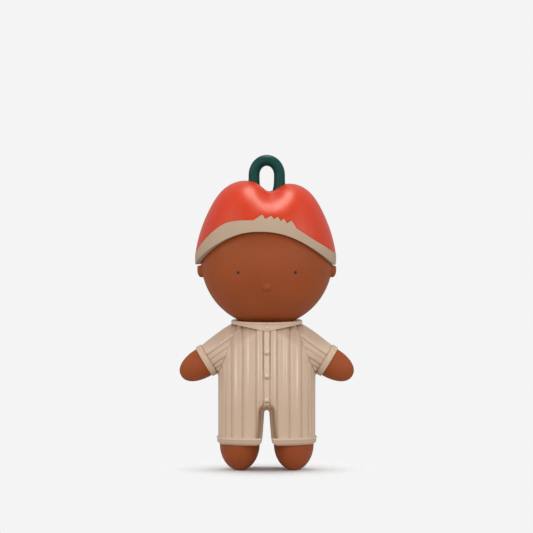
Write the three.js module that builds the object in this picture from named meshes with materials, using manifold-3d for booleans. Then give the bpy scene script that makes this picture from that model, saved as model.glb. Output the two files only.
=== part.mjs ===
// Palm-size vinyl baby doll in a ribbed romper, with a bitten fruit cap that lifts off.
// Millimetres, +Z up, face towards -Y, origin on the floor midway between the feet.
import * as THREE from "three";
import { mergeVertices } from "three/addons/utils/BufferGeometryUtils.js";
import Module from "manifold-3d";

const wasm = await Module();
wasm.setup();

// Gaps and walls
const FIT = 0.3; // between pieces that seat on or turn in one another
const SKIN_FIT = 0.12; // between the red peel and the cream cap below it
const EYE_FIT = 0.1; // round a set-in eye
const WALL = 2.2; // moulded vinyl wall

// Romper body
const BODY_HALF_WIDTH = 18.75;
const BODY_HALF_DEPTH = 14;
const BODY_SQUARENESS = 2.6; // 2 is an ellipse, more is boxier
const BELLY = 1.6; // how far the front and back bulge beyond that depth
const BELLY_RISE = 18.9; // hem edge to the fullest height of that bulge
const HEM_Z = 10.1; // lower edge of the trouser hems
const HEM_HEIGHT = 2.8;
const HEM_PROUD = 0.3;
const ROMPER_HEIGHT = 47.9; // hem edge to the collar's top at the sides
const CROTCH_RISE = 13.5; // hem edge to the top of the gap between the legs
const LEG_GAP = 3.7; // between the trouser legs at the hems
const LEG_SLOT = 1.9; // and just below the crotch
const LEG_ROUNDING = 2.4; // widening of that gap at the front and back
const SHOULDER_SLOPE = 13; // height over which the trunk narrows to the collar
const SHOULDER_ROUND = 4; // depth over which the trunk is trimmed round each shoulder
const RIB_PITCH = 2.5;
const RIB_GROOVE = 0.95;
const RIB_DEPTH = 0.42;
const RIBS_TO_LEFT = [1.4, 3.9, 8.7, 13.6, 17.3]; // front grooves from the middle, as moulded
const RIBS_TO_RIGHT = [1.4, 4, 9.2, 13.7, 16.9];

// Collar, placket and buttons
const COLLAR_RADIUS = 13.65;
const COLLAR_MOUTH = 13; // radius where the head drops into the collar's sides
const COLLAR_SAG = 1.1; // how far the whole collar sinks towards the front
const COLLAR_HEIGHT = 2.1;
const COLLAR_DIP = 0.7; // extra depth of the lower edge, a shallow V at the front
const COLLAR_OPEN = 12; // half width of that V
const COLLAR_HALF_DEPTH = 14.2; // a little more than its radius at the sides
const COLLAR_PROUD = 0.3;
const PLACKET_WIDTH = 2.1;
const PLACKET_PROUD = 0.35;
const PLACKET_LENGTH = 29.5;
const BUTTON_DIAMETER = 1.7;
const BUTTON_PROUD = 0.55;
const BUTTON_COUNT = 4;
const BUTTON_DROP = 3; // top button below the collar's top
const BUTTON_PITCH = 9.1;

// Feet
const FOOT_HALF_WIDTH = 7.6;
const FOOT_HALF_DEPTH = 11;
const FOOT_ROUND = 10.1; // height of the ellipse that the sole cuts off, from the front
const FOOT_LONG = 11; // the same from the side, for a sole long enough to stand on
const FOOT_SPIGOT = 5.8; // half width of the plug in the trouser leg
const FOOT_SPIGOT_LENGTH = 6;

// Head
const HEAD_RADIUS = 25;
const HEAD_HALF_HEIGHT = 25;
const EYE_OUT = 25.8; // degrees to each side
const EYE_DOWN = 7.8; // degrees below the head's middle
const EYE_DIAMETER = 1.3;
const EYE_DEPTH = 0.8;
const EYE_PROUD = 0.25;
const NOSE_DOWN = 21.4;
const NOSE_WIDTH = 3;
const NOSE_PROUD = 0.9;
const EAR_DOWN = 3.1; // ear middle below the head's middle
const EAR_HEIGHT = 6.4;
const EAR_DEPTH = 5;
const EAR_PROUD = 1.55;
const NECK_PEG_RADIUS = 3.5;
const NECK_PEG_HEAD = 6;

// Sleeves and hands
const ARMPIT_RISE = 26.3; // hem edge to the armpit
const SHOULDER_RADIUS = 10.3;
const SHOULDER_TILT = 22; // degrees that the arm's turning axis points up
const SLEEVE_OUT = 6.54; // cuff end from the shoulder, along the axis
const SLEEVE_DROP = 7.87; // and across it
const SLEEVE_BEND = 53.3; // degrees between the axis and the forearm
const SLEEVE_FULLNESS = 2.2; // rise of the sleeve's upper line over a straight one
const CUFF_RADIUS = 6.55;
const CUFF_PROUD = 0.6;
const CUFF_WIDTH = 2.4;
const CUFF_BORE = 4;
const SLEEVE_RIBS = 12;
const HAND_RADIUS = 5.75;
const HAND_LENGTH = 10.2;
const HAND_SPIGOT_LENGTH = 2.1;
const ARM_SEAT_RADIUS = 8.2; // round boss of the sleeve that turns in the trunk
const ARM_SEAT_DEPTH = 1;
const ARM_PEG_RADIUS = 2;
const ARM_PEG_HEAD = 3.4;
const PEG_HEAD_HEIGHT = 1.2;

// Cap
const CAP_TURN = -5; // degrees that it sits turned on the head
const RIM_FRONT = 12.55; // front rim above the head's middle
const RIM_SIDE = -1.55; // rim at the sides and back
const RIM_SHARPNESS = 2.3;
const PEEL = 0.5;
const PEEL_STEP = 0.35; // degrees between the peel's edge and the cream step below it
const CAP_LEAN = 0.45; // the cap is this much thicker on its right side and thinner on its left
const CREASE_DEPTH = 4.1; // crease over the crown, from front to back
const CREASE_HALF_WIDTH = 3.6;
const CREASE_ASIDE = 1; // to the doll's left of the middle
const CREASE_SKEW = 7.9; // degrees that it runs further aside towards the front
const CREASE_FLARE = 4; // widening of the crease from the crown down to where it ends
// Thickness of the whole cap over the head, by degrees above the head's middle
const CAP_BODY = [
  [-8, 1.5], [5, 1.85], [22, 2.1], [32, 2.75], [43, 4], [52, 5.5],
  [60, 6.6], [67, 6.9], [74, 6.5], [82, 5.7], [90, 5.4], [98, 5.7],
];
// Lower edge of the peel on each side of the bite: degrees round from the front, height over the middle
const EDGE_BEFORE = [
  [-180, 3.4], [-92, 3], [-76, 3.7], [-66, 6.3], [-49.5, 11.6], [-36.8, 14.8], [-24, 16], [-7.4, 16.3],
];
const EDGE_AFTER = [[32.8, 13.4], [39.3, 11.7], [49.3, 9.1], [63.5, 6.3], [78, 4], [92, 3.2], [180, 3.4]];
// Bite between them: notches, with the tip of a tooth after each
const NOTCHES = [EDGE_BEFORE.at(-1), [3.6, 16.8], [11.9, 16.8], [18.1, 16.1], [24.1, 15.2], EDGE_AFTER[0]];
const TIPS = [[0.6, 18.3], [9.3, 17.8], [15.9, 17.5], [21.7, 16.8], [29.1, 16.1]];

// Stem loop
const LOOP_TUBE = 4.2;
const LOOP_SPAN = 9.7; // between the two legs' middles
const LOOP_LEG = 4.15; // straight leg above the crown
const LOOP_RISE = 5.6; // height of the arch's middle line above the legs
const LOOP_SEAT = 2.2; // how far each leg goes into the crown

const rad = THREE.MathUtils.degToRad;
const at = (x, y, z) => new THREE.Vector3(x, y, z);
const power = (value, exponent) => Math.sign(value) * Math.abs(value) ** exponent;
const steps = (count, from, to) =>
  Array.from({ length: count + 1 }, (_, i) => from + ((to - from) * i) / count);

// Places that follow from the sizes
const COLLAR_Z = HEM_Z + ROMPER_HEIGHT;
const COLLAR_FRONT_Z = COLLAR_Z - COLLAR_SAG;
const CROTCH_Z = HEM_Z + CROTCH_RISE;
const BELLY_Z = HEM_Z + BELLY_RISE;
const LEG_X = BODY_HALF_WIDTH / 2 + LEG_GAP / 4;
const headDrop = (radius, grow = 0) =>
  (HEAD_HALF_HEIGHT + grow) * Math.sqrt(1 - (radius / (HEAD_RADIUS + grow)) ** 2);
const HEAD_Z = COLLAR_Z + headDrop(COLLAR_MOUTH, FIT);
const NECK_SEAT_Z = HEAD_Z - HEAD_HALF_HEIGHT - FIT;
const TILT = rad(SHOULDER_TILT);
const SHOULDER = at(
  BODY_HALF_WIDTH - SHOULDER_RADIUS * Math.sin(TILT),
  0,
  HEM_Z + ARMPIT_RISE + SHOULDER_RADIUS * Math.cos(TILT),
);
const BEND = rad(SLEEVE_BEND);
const ALONG_ARM = at(Math.sin(BEND), 0, Math.cos(BEND));
const ARM_WALL = -ARM_SEAT_DEPTH - FIT - WALL; // inner face of the trunk's wall at the shoulder

// A smooth line through points in order of their first value
function smooth(points, x) {
  const last = points.length - 1;
  const after = points.findIndex((p) => p[0] > x);
  const k = after < 0 ? last - 1 : Math.max(0, after - 1);
  const slope = (i) => {
    const a = points[Math.max(0, i - 1)];
    const b = points[Math.min(last, i + 1)];
    return (b[1] - a[1]) / (b[0] - a[0]);
  };
  const [x0, y0] = points[k];
  const [x1, y1] = points[k + 1];
  const w = x1 - x0;
  const t = Math.max(0, Math.min(1, (x - x0) / w));
  const rise = y1 - y0;
  const bend = (1 - t) * (w * slope(k) - rise) + t * (rise - w * slope(k + 1));
  return y0 + t * rise + t * (1 - t) * bend;
}

// Closed skin through rings of equally many points, with a fan over each end. Quads of the first
// few bands split the other way, so that an inner skin has the same facets as the one outside it.
function loft(rings, mirrored = 0) {
  const n = rings[0].length;
  const points = rings.flat();
  const index = [];
  for (let k = 0; k + 1 < rings.length; k++) {
    for (let i = 0; i < n; i++) {
      const a = k * n + i;
      const b = k * n + ((i + 1) % n);
      if (k < mirrored) index.push(a, b, b + n, a, b + n, a + n);
      else index.push(a, b, a + n, b, b + n, a + n);
    }
  }
  const top = (rings.length - 1) * n;
  for (const [start, turn] of [[0, 1], [top, 0]]) {
    const middle = at(0, 0, 0);
    points.slice(start, start + n).forEach((p) => middle.addScaledVector(p, 1 / n));
    points.push(middle);
    for (let i = 0; i < n; i++) {
      const a = start + i;
      const b = start + ((i + 1) % n);
      index.push(points.length - 1, turn ? b : a, turn ? a : b);
    }
  }
  return new THREE.BufferGeometry().setFromPoints(points).setIndex(index);
}

// Profile of [radius, height] turned about the Z axis
const turned = (profile, sides) =>
  new THREE.LatheGeometry(profile.map(([r, z]) => new THREE.Vector2(r, z)), sides).rotateX(Math.PI / 2);

const rod = (radius, length, sides) =>
  new THREE.CylinderGeometry(radius, radius, length, sides).rotateX(Math.PI / 2);

const ball = (x, y, z, sides) => new THREE.SphereGeometry(1, sides, Math.round(sides / 2)).scale(x, y, z);

// Geometry as a solid that can be joined and cut, with its faces turned outwards
function solid(geometry) {
  const bare = geometry.clone();
  bare.deleteAttribute("normal");
  bare.deleteAttribute("uv");
  const merged = mergeVertices(bare, 1e-4);
  const place = merged.attributes.position;
  const [a, b, c] = [at(0, 0, 0), at(0, 0, 0), at(0, 0, 0)];
  const faces = [];
  let volume = 0;
  for (let i = 0; i < merged.index.count; i += 3) {
    const [p, q, r] = [0, 1, 2].map((k) => merged.index.getX(i + k));
    if (p === q || q === r || r === p) continue;
    faces.push([p, q, r]);
    a.fromBufferAttribute(place, p);
    b.fromBufferAttribute(place, q);
    c.fromBufferAttribute(place, r);
    volume += a.dot(b.cross(c));
  }
  if (volume < 0) faces.forEach((f) => f.reverse());
  return new wasm.Manifold(
    new wasm.Mesh({ numProp: 3, vertProperties: place.array, triVerts: new Uint32Array(faces.flat()) }),
  );
}

function piece(name, made, material) {
  const skin = made.getMesh();
  const geometry = new THREE.BufferGeometry();
  geometry.setAttribute("position", new THREE.BufferAttribute(new Float32Array(skin.vertProperties), 3));
  geometry.setIndex(new THREE.BufferAttribute(new Uint32Array(skin.triVerts), 1));
  geometry.computeVertexNormals();
  const mesh = new THREE.Mesh(geometry, material);
  mesh.name = name;
  return mesh;
}

const vinyl = (color, roughness) => new THREE.MeshStandardMaterial({ color, roughness, metalness: 0 });
const SKIN = vinyl(0x8e4a2c, 0.5);
const KNIT = vinyl(0xc9ae92, 0.62);
const RED = vinyl(0xcd3218, 0.42);
const CREAM = vinyl(0xc3a983, 0.55);
const GREEN = vinyl(0x24504a, 0.45);
const DARK = vinyl(0x14131a, 0.3);
const PEG = vinyl(0xd9d5cc, 0.5);

// Romper outline in plan, listed by length round from the front middle towards the doll's left
const OUTLINE = steps(720, -90, 270).map((degrees) => {
  const share = 2 / BODY_SQUARENESS;
  return at(
    BODY_HALF_WIDTH * power(Math.cos(rad(degrees)), share),
    BODY_HALF_DEPTH * power(Math.sin(rad(degrees)), share),
    0,
  );
});
const LENGTHS = [0];
OUTLINE.slice(1).forEach((p, i) => LENGTHS.push(LENGTHS[i] + p.distanceTo(OUTLINE[i])));
const ROUND = LENGTHS.at(-1);

function outlineAt(length) {
  const k = Math.max(1, LENGTHS.findIndex((sum) => sum >= length - 1e-9));
  const [a, b] = [OUTLINE[k - 1], OUTLINE[k]];
  const share = (length - LENGTHS[k - 1]) / (LENGTHS[k] - LENGTHS[k - 1]);
  const along = b.clone().sub(a).normalize();
  return { point: a.clone().lerp(b, share), out: at(along.y, -along.x, 0) };
}

// Grooves from the front middle to the back middle on one side
function grooves(front) {
  const rest = ROUND / 2 - front.at(-1);
  const count = Math.round(rest / RIB_PITCH);
  return [...front, ...steps(count, front.at(-1), ROUND / 2).slice(1, -1)];
}

// Half of the trunk's width at a height, where the shoulders slope in to the collar
function shoulderReach(z) {
  const t = Math.max(0, (z - COLLAR_FRONT_Z) / SHOULDER_SLOPE + 1);
  return COLLAR_RADIUS + (BODY_HALF_WIDTH - COLLAR_RADIUS) * (1 - t ** 1.5);
}

// Bulge of the front and back at a height: none at the hem and the collar
function belly(z) {
  const span = z > BELLY_Z ? COLLAR_FRONT_Z - BELLY_Z : BELLY_RISE;
  return BELLY * Math.cos((Math.PI / 2) * Math.min(1, Math.abs(z - BELLY_Z) / span)) ** 2;
}

// One ring of the trunk, set in from its outline
function trunkRing(columns, z, inset) {
  return columns.map(({ point, out, depth }) => {
    const reach = (shoulderReach(z) * 1.03) / point.length();
    const ring = point.clone().multiplyScalar(Math.min(1, reach));
    ring.y *= 1 + belly(z) / BODY_HALF_DEPTH;
    ring.addScaledVector(out, -inset - depth);
    return ring.setZ(z);
  });
}

const plain = (count) => steps(count, 0, ROUND).slice(0, -1).map((s) => ({ ...outlineAt(s), depth: 0 }));

function ribbedColumns() {
  const places = [
    ...grooves(RIBS_TO_LEFT),
    ROUND / 2,
    ...grooves(RIBS_TO_RIGHT).reverse().map((s) => ROUND - s),
  ];
  return places.flatMap((s) => [
    { ...outlineAt(s - RIB_GROOVE / 2), depth: 0 },
    { ...outlineAt(s), depth: RIB_DEPTH },
    { ...outlineAt(s + RIB_GROOVE / 2), depth: 0 },
  ]);
}

// Frame at a shoulder: local Z out along the arm's axis, local X down
function shoulderFrame(side) {
  const frame = new THREE.Group();
  frame.position.set(side * SHOULDER.x, 0, SHOULDER.z);
  frame.rotation.set(0, Math.PI / 2 - TILT, side > 0 ? 0 : Math.PI, "ZYX");
  frame.updateMatrix();
  return frame;
}

const atShoulder = (side, geometry) => solid(geometry.applyMatrix4(shoulderFrame(side).matrix));

function beyondShoulder(side, distance) {
  const size = 40;
  return atShoulder(side, new THREE.BoxGeometry(size, size, size).translate(0, 0, distance + size / 2));
}

// Cutter that trims the trunk to a cone at the front and back of a shoulder, above the armpit
function shoulderTrim(side) {
  const size = 40;
  const [top, base] = [1, -SHOULDER_ROUND - 1];
  const cone = new THREE.CylinderGeometry(SHOULDER_RADIUS - top, SHOULDER_RADIUS - base, top - base, 40);
  const slab = beyondShoulder(side, -SHOULDER_ROUND).subtract(
    atShoulder(side, cone.rotateX(Math.PI / 2).translate(0, 0, (top + base) / 2)),
  );
  const low = HEM_Z + ARMPIT_RISE + SHOULDER_ROUND;
  const [front, back] = [-1, 1].map((end) => {
    const half = new THREE.BoxGeometry(size, size, size);
    half.translate((side * size) / 2, (end * (SHOULDER_RADIUS + size)) / 2, low + size / 2);
    return slab.intersect(solid(half));
  });
  return front.add(back);
}

// Gap between the trouser legs: a slot with a round top that widens at the front and back
function legGap() {
  const reach = BODY_HALF_DEPTH + 2;
  return loft(
    [-1, -0.9, -0.8, -0.65, -0.3, 0.3, 0.65, 0.8, 0.9, 1].map((share) => {
      const spread = (Math.abs(share) * reach) / BODY_HALF_DEPTH;
      const wider = LEG_ROUNDING * spread ** 5;
      const y = share * reach;
      const radius = LEG_SLOT / 2 + wider;
      const low = LEG_GAP / 2 + wider;
      const arch = steps(8, 0, Math.PI).map((t) =>
        at(radius * Math.cos(t), y, CROTCH_Z - LEG_SLOT / 2 + radius * Math.sin(t)),
      );
      return [at(low, y, 0), at(low, y, HEM_Z), ...arch, at(-low, y, HEM_Z), at(-low, y, 0)];
    }),
  );
}

// Collar: a band that sinks towards the front, with a shallow V along its lower edge
function collarBand() {
  const widest = COLLAR_RADIUS + COLLAR_PROUD;
  const ring = (radius, fromTop, fromBottom) =>
    steps(48, 0, 2 * Math.PI).slice(0, -1).map((t) => {
      const x = radius * Math.cos(t);
      const y = ((radius * COLLAR_HALF_DEPTH) / COLLAR_RADIUS) * Math.sin(t);
      const upper = COLLAR_Z - COLLAR_SAG * Math.max(0, -Math.sin(t)) ** 1.3;
      const vee = y < 0 ? COLLAR_DIP * Math.max(0, 1 - Math.abs(x) / COLLAR_OPEN) : 0;
      const lower = upper - COLLAR_HEIGHT - vee;
      return at(x, y, fromTop === null ? lower + fromBottom : upper - fromTop);
    });
  return loft([
    ring(COLLAR_RADIUS - 2 * COLLAR_PROUD, null, 0),
    ring(widest, null, COLLAR_PROUD),
    ring(widest, COLLAR_PROUD),
    ring(COLLAR_RADIUS, 0),
  ]);
}

function romper() {
  const slope = COLLAR_FRONT_Z - SHOULDER_SLOPE;
  const heights = [
    ...steps(5, HEM_Z + HEM_HEIGHT / 2, slope).slice(0, -1),
    ...steps(4, slope, COLLAR_FRONT_Z - COLLAR_PROUD),
  ];
  let made = solid(loft(heights.map((z) => trunkRing(ribbedColumns(), z, 0))));
  const bevel = HEM_PROUD / 2;
  const hem = [
    [0, -bevel],
    [bevel, HEM_PROUD - bevel],
    [HEM_HEIGHT - 2 * bevel, HEM_PROUD],
    [HEM_HEIGHT, 0],
  ];
  made = made.add(solid(loft(hem.map(([rise, proud]) => trunkRing(plain(56), HEM_Z + rise, -proud)))));
  for (const side of [1, -1]) {
    const boss = new THREE.CylinderGeometry(SHOULDER_RADIUS, SHOULDER_RADIUS * 0.6, WALL * 4, 40);
    made = made.subtract(beyondShoulder(side, 0)).subtract(shoulderTrim(side));
    made = made.add(atShoulder(side, boss.rotateX(Math.PI / 2).translate(0, 0, -WALL * 2)));
  }
  made = made.add(solid(collarBand()));

  const strip = PLACKET_WIDTH / 2;
  const top = COLLAR_FRONT_Z - COLLAR_HEIGHT;
  const placket = steps(6, top - PLACKET_LENGTH, top).map((z) => {
    const front = -BODY_HALF_DEPTH - belly(z) - PLACKET_PROUD;
    const back = front + WALL;
    return [at(-strip, front, z), at(strip, front, z), at(strip, back, z), at(-strip, back, z)];
  });
  made = made.add(solid(loft(placket)));
  for (let i = 0; i < BUTTON_COUNT; i++) {
    const button = ball(BUTTON_DIAMETER / 2, BUTTON_PROUD * 2, BUTTON_DIAMETER / 2, 10);
    const z = COLLAR_Z - BUTTON_DROP - BUTTON_PITCH * i;
    button.translate(0, BUTTON_PROUD - BODY_HALF_DEPTH - belly(z) - PLACKET_PROUD, z);
    made = made.add(solid(button));
  }

  // Hollow: trunk, legs, head seat and the three peg holes
  made = made.subtract(solid(legGap()));
  const roof = NECK_SEAT_Z - WALL;
  const levels = [...steps(3, CROTCH_Z + WALL, slope), (slope + roof) / 2, roof];
  let hollow = solid(loft(levels.map((z) => trunkRing(plain(32), z, WALL))));
  const wide = FOOT_SPIGOT + FIT;
  const deep = (FOOT_SPIGOT * FOOT_HALF_DEPTH) / FOOT_HALF_WIDTH + FIT;
  for (const side of [1, -1]) {
    hollow = hollow.subtract(beyondShoulder(side, ARM_WALL));
    const bore = rod(1, CROTCH_RISE + WALL + 2, 24).scale(wide, deep, 1);
    hollow = hollow.add(solid(bore.translate(side * LEG_X, 0, HEM_Z + (CROTCH_RISE + WALL) / 2)));
  }
  made = made.subtract(hollow);
  const seat = ball(HEAD_RADIUS + FIT, HEAD_HALF_HEIGHT + FIT, HEAD_RADIUS + FIT, 40);
  made = made.subtract(solid(seat.rotateX(Math.PI / 2).translate(0, 0, HEAD_Z)));
  made = made.subtract(solid(rod(NECK_PEG_RADIUS + FIT, 3 * WALL, 28).translate(0, 0, NECK_SEAT_Z - WALL)));
  for (const side of [1, -1]) {
    made = made.subtract(atShoulder(side, rod(ARM_PEG_RADIUS + FIT, 3 * WALL, 20).translate(0, 0, -WALL)));
    made = made.subtract(atShoulder(side, rod(ARM_SEAT_RADIUS + FIT, 2 * (ARM_SEAT_DEPTH + FIT), 36)));
  }
  return made;
}

// Foot: ellipse cut flat at the sole, with a plug that goes up the trouser leg
function foot() {
  const top = HEM_Z - FIT;
  const sole = Math.asin(top / FOOT_ROUND);
  const curve = steps(7, sole, 0).map((t) => [
    FOOT_HALF_WIDTH * Math.cos(t),
    top - FOOT_ROUND * Math.sin(t),
  ]);
  curve[0][1] = 0;
  const end = top + FOOT_SPIGOT_LENGTH;
  const profile = [[0, 0], ...curve, [FOOT_SPIGOT, top], [FOOT_SPIGOT, end], [0, end]];
  const made = turned(profile, 24);
  const place = made.attributes.position;
  const round = (z, high) => Math.sqrt(1 - ((top - Math.min(z, top)) / high) ** 2);
  for (let i = 0; i < place.count; i += 1) {
    const z = place.getZ(i);
    const long = (FOOT_HALF_DEPTH * round(z, FOOT_LONG)) / (FOOT_HALF_WIDTH * round(z, FOOT_ROUND));
    place.setY(i, place.getY(i) * long);
  }
  return solid(made);
}

// Head, about its middle
const headPoint = (degrees, grow) => [
  (HEAD_RADIUS + grow) * Math.cos(rad(degrees)),
  (HEAD_HALF_HEIGHT + grow) * Math.sin(rad(degrees)),
];

// Frame on the head's face: local Z straight out
function onFace(out, down) {
  const frame = new THREE.Group();
  const [radius, height] = headPoint(-down, 0);
  frame.position.set(radius * Math.sin(rad(out)), -radius * Math.cos(rad(out)), height);
  frame.rotation.set(Math.PI / 2 + rad(down), 0, rad(out), "ZXY");
  frame.updateMatrix();
  return frame;
}

function head() {
  const hole = NECK_PEG_RADIUS + FIT;
  const lowest = (grow) => -THREE.MathUtils.radToDeg(Math.acos(hole / (HEAD_RADIUS + grow)));
  const profile = [
    ...steps(7, 90, lowest(-WALL)).map((degrees) => headPoint(degrees, -WALL)),
    ...steps(16, lowest(0), 90).map((degrees) => headPoint(degrees, 0)),
  ];
  profile[0][0] = 0;
  profile.at(-1)[0] = 0;
  let made = solid(turned(profile, 36));
  const nose = ball(NOSE_WIDTH / 2, NOSE_WIDTH / 2.1, NOSE_PROUD, 14);
  made = made.add(solid(nose.applyMatrix4(onFace(0, NOSE_DOWN).matrix)));
  const brim = RIM_SIDE - FIT;
  for (const side of [1, -1]) {
    const ear = ball(EAR_PROUD, EAR_DEPTH / 2, EAR_HEIGHT / 2, 14);
    ear.translate(side * HEAD_RADIUS, 0, -EAR_DOWN);
    const shell = ball(EAR_PROUD, EAR_DEPTH / 3.4, EAR_HEIGHT / 3.6, 10);
    shell.translate(side * (HEAD_RADIUS + EAR_PROUD * 1.75), -EAR_DEPTH / 6, -EAR_DOWN);
    const above = new THREE.BoxGeometry(EAR_HEIGHT, 2 * EAR_DEPTH, EAR_HEIGHT);
    above.translate(side * HEAD_RADIUS, 0, brim + EAR_HEIGHT / 2);
    made = made.add(solid(ear).subtract(solid(shell)).subtract(solid(above)));
    const pocket = rod(EYE_DIAMETER / 2 + EYE_FIT, 2 * (EYE_DEPTH + EYE_FIT), 14);
    made = made.subtract(solid(pocket.applyMatrix4(onFace(side * EYE_OUT, EYE_DOWN).matrix)));
  }
  return made;
}

function eye() {
  const dome = steps(4, 0, 90).map((t) => [
    (EYE_DIAMETER / 2) * Math.cos(rad(t)),
    EYE_PROUD * Math.sin(rad(t)),
  ]);
  dome.at(-1)[0] = 0;
  return solid(turned([[0, -EYE_DEPTH], [EYE_DIAMETER / 2, -EYE_DEPTH], ...dome], 14));
}

// Double-headed peg along Z, with its heads beyond the two walls it joins
function peg(radius, headRadius, low, high) {
  const profile = [
    [0, low - PEG_HEAD_HEIGHT],
    [headRadius, low - PEG_HEAD_HEIGHT],
    [headRadius, low],
    [radius, low],
    [radius, high],
    [headRadius, high],
    [headRadius * 0.7, high + PEG_HEAD_HEIGHT],
    [0, high + PEG_HEAD_HEIGHT],
  ];
  return solid(turned(profile, 16));
}

// One ring of the sleeve in the shoulder's frame. Its top and bottom lie on two lines from the shoulder to
// the cuff, and it can be grown, grooved and pushed on along the forearm.
function sleeveRing(count, share, grow, grooved, push = 0) {
  const thin = CUFF_RADIUS - CUFF_PROUD;
  const cuff = at(SLEEVE_DROP, 0, SLEEVE_OUT).addScaledVector(ALONG_ARM, -CUFF_WIDTH);
  const across = at(Math.cos(BEND), 0, -Math.sin(BEND));
  const line = (end) => {
    const finish = cuff.clone().addScaledVector(across, end * thin);
    return at(end * SHOULDER_RADIUS, 0, FIT).lerp(finish, share);
  };
  const [top, bottom] = [line(-1), line(1)];
  const underCollar = SHOULDER.z + top.z * Math.sin(TILT) - (COLLAR_Z - COLLAR_HEIGHT - FIT);
  const full = SLEEVE_FULLNESS * Math.sin(Math.PI * share ** 0.6);
  top.x = Math.max(top.x - full, underCollar / Math.cos(TILT));
  const middle = top.clone().add(bottom).divideScalar(2).addScaledVector(ALONG_ARM, push);
  const down = bottom.clone().sub(top);
  const tall = down.length() / 2;
  const wide = SHOULDER_RADIUS + (thin - SHOULDER_RADIUS) * share;
  down.normalize();
  return steps(count, 0, 2 * Math.PI).slice(0, -1).map((t, i) => {
    const more = grow - (grooved && i % 4 === 2 ? RIB_DEPTH : 0);
    const point = middle.clone().addScaledVector(down, (tall + more) * Math.cos(t));
    point.y += (wide + more) * Math.sin(t);
    return point;
  });
}

function sleeve() {
  const count = SLEEVE_RIBS * 4;
  const size = 40;
  const outer = [0, 0.12, 0.3, 0.5, 0.75, 1].map((t) => sleeveRing(count, t, 0, t > 0 && t < 1));
  const edge = CUFF_PROUD / 2;
  const cuff = [
    [0.05, 0],
    [edge, CUFF_PROUD],
    [CUFF_WIDTH - edge, CUFF_PROUD],
    [CUFF_WIDTH, CUFF_PROUD - edge],
  ];
  outer.push(...cuff.map(([push, proud]) => sleeveRing(count, 1, proud, false, push)));
  let made = solid(loft(outer));
  made = made.subtract(solid(new THREE.BoxGeometry(size, size, size).translate(0, 0, FIT - size / 2)));

  const bore = CUFF_BORE - CUFF_RADIUS + CUFF_PROUD;
  const inside = [0, 0.5, 1].map((t) => sleeveRing(20, t, -WALL - 0.6 + (bore + WALL + 0.6) * t, false));
  inside[0].forEach((p) => p.setZ(FIT + WALL));
  inside[1].forEach((p) => p.setZ(Math.max(p.z, FIT + WALL + 0.1)));
  inside.push(sleeveRing(20, 1, bore, false, CUFF_WIDTH + 1));
  inside.slice(2).flat().forEach((p) => p.setZ(Math.max(p.z, FIT + WALL / 2)));
  made = made.subtract(solid(loft(inside)));
  const boss = rod(ARM_SEAT_RADIUS, ARM_SEAT_DEPTH + FIT + WALL / 2, 36);
  made = made.add(solid(boss.translate(0, 0, (FIT + WALL / 2 - ARM_SEAT_DEPTH) / 2)));
  return made.subtract(solid(rod(ARM_PEG_RADIUS + FIT, 4 * WALL, 20)));
}

// Hand, along Z from the cuff's end
function hand() {
  const dome = steps(7, 0, 90).map((t) => [
    HAND_RADIUS * Math.cos(rad(t)) ** 0.9,
    FIT + (HAND_LENGTH - FIT) * Math.sin(rad(t)),
  ]);
  dome.at(-1)[0] = 0;
  const spigot = CUFF_BORE - FIT;
  const plug = [[0, -HAND_SPIGOT_LENGTH], [spigot, -HAND_SPIGOT_LENGTH], [spigot, FIT]];
  return solid(turned([...plug, ...dome], 20));
}

// Cap, about the head's middle. Round is in degrees from the front, towards the doll's left.
function rimHeight(round) {
  const swing = Math.min(1, Math.abs(round) < 90 ? Math.abs(Math.sin(rad(round))) : 1);
  return RIM_FRONT - (RIM_FRONT - RIM_SIDE) * swing ** RIM_SHARPNESS;
}

// Height of the peel's edge: rounded tooth tips and sharp notches inside the bite, a smooth line outside it
function peelHeight(round) {
  if (round < NOTCHES[0][0]) return smooth(EDGE_BEFORE, round);
  if (round >= NOTCHES.at(-1)[0]) return smooth(EDGE_AFTER, round);
  const k = NOTCHES.findIndex((notch) => notch[0] > round) - 1;
  const [tip, height] = TIPS[k];
  const [notch, low] = round < tip ? NOTCHES[k] : NOTCHES[k + 1];
  return low + (height - low) * Math.cos((Math.PI / 2) * ((round - tip) / (notch - tip)));
}

const ease = (t) => THREE.MathUtils.smoothstep(t, 0, 1);

// Point of the cap's outside, set in by some depth
function capPoint(round, up, inset) {
  const [radius, height] = headPoint(up, 0);
  const reach = Math.hypot(radius, height);
  const side = radius * Math.sin(rad(round));
  const front = radius * Math.cos(rad(round));
  const half = CREASE_HALF_WIDTH + CREASE_FLARE * Math.max(0, (80 - up) / 50);
  const off = side - Math.tan(rad(CREASE_SKEW)) * front - CREASE_ASIDE;
  const crease = CREASE_DEPTH * ease((up - 38) / 28) * Math.exp(-((off / half) ** 2));
  const lean = CAP_LEAN * Math.sin(rad(round)) * ease(radius / HEAD_RADIUS / 0.35);
  const grow = (reach + smooth(CAP_BODY, up) - crease - lean - inset) / reach;
  return at(side * grow, -front * grow, height * grow);
}

function headSkin(round, up, grow) {
  const [radius, height] = headPoint(up, grow);
  return at(radius * Math.sin(rad(round)), -radius * Math.cos(rad(round)), height);
}

// Degrees above the head's middle at which the cap's outside has some height
function upTo(height) {
  let up = 0;
  for (let i = 0; i < 8; i++) {
    up = THREE.MathUtils.radToDeg(Math.asin(height / (HEAD_RADIUS + smooth(CAP_BODY, up))));
  }
  return up;
}

const rimUp = (round) => upTo(rimHeight(round));
const peelUp = (round) => upTo(peelHeight(round));

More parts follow.
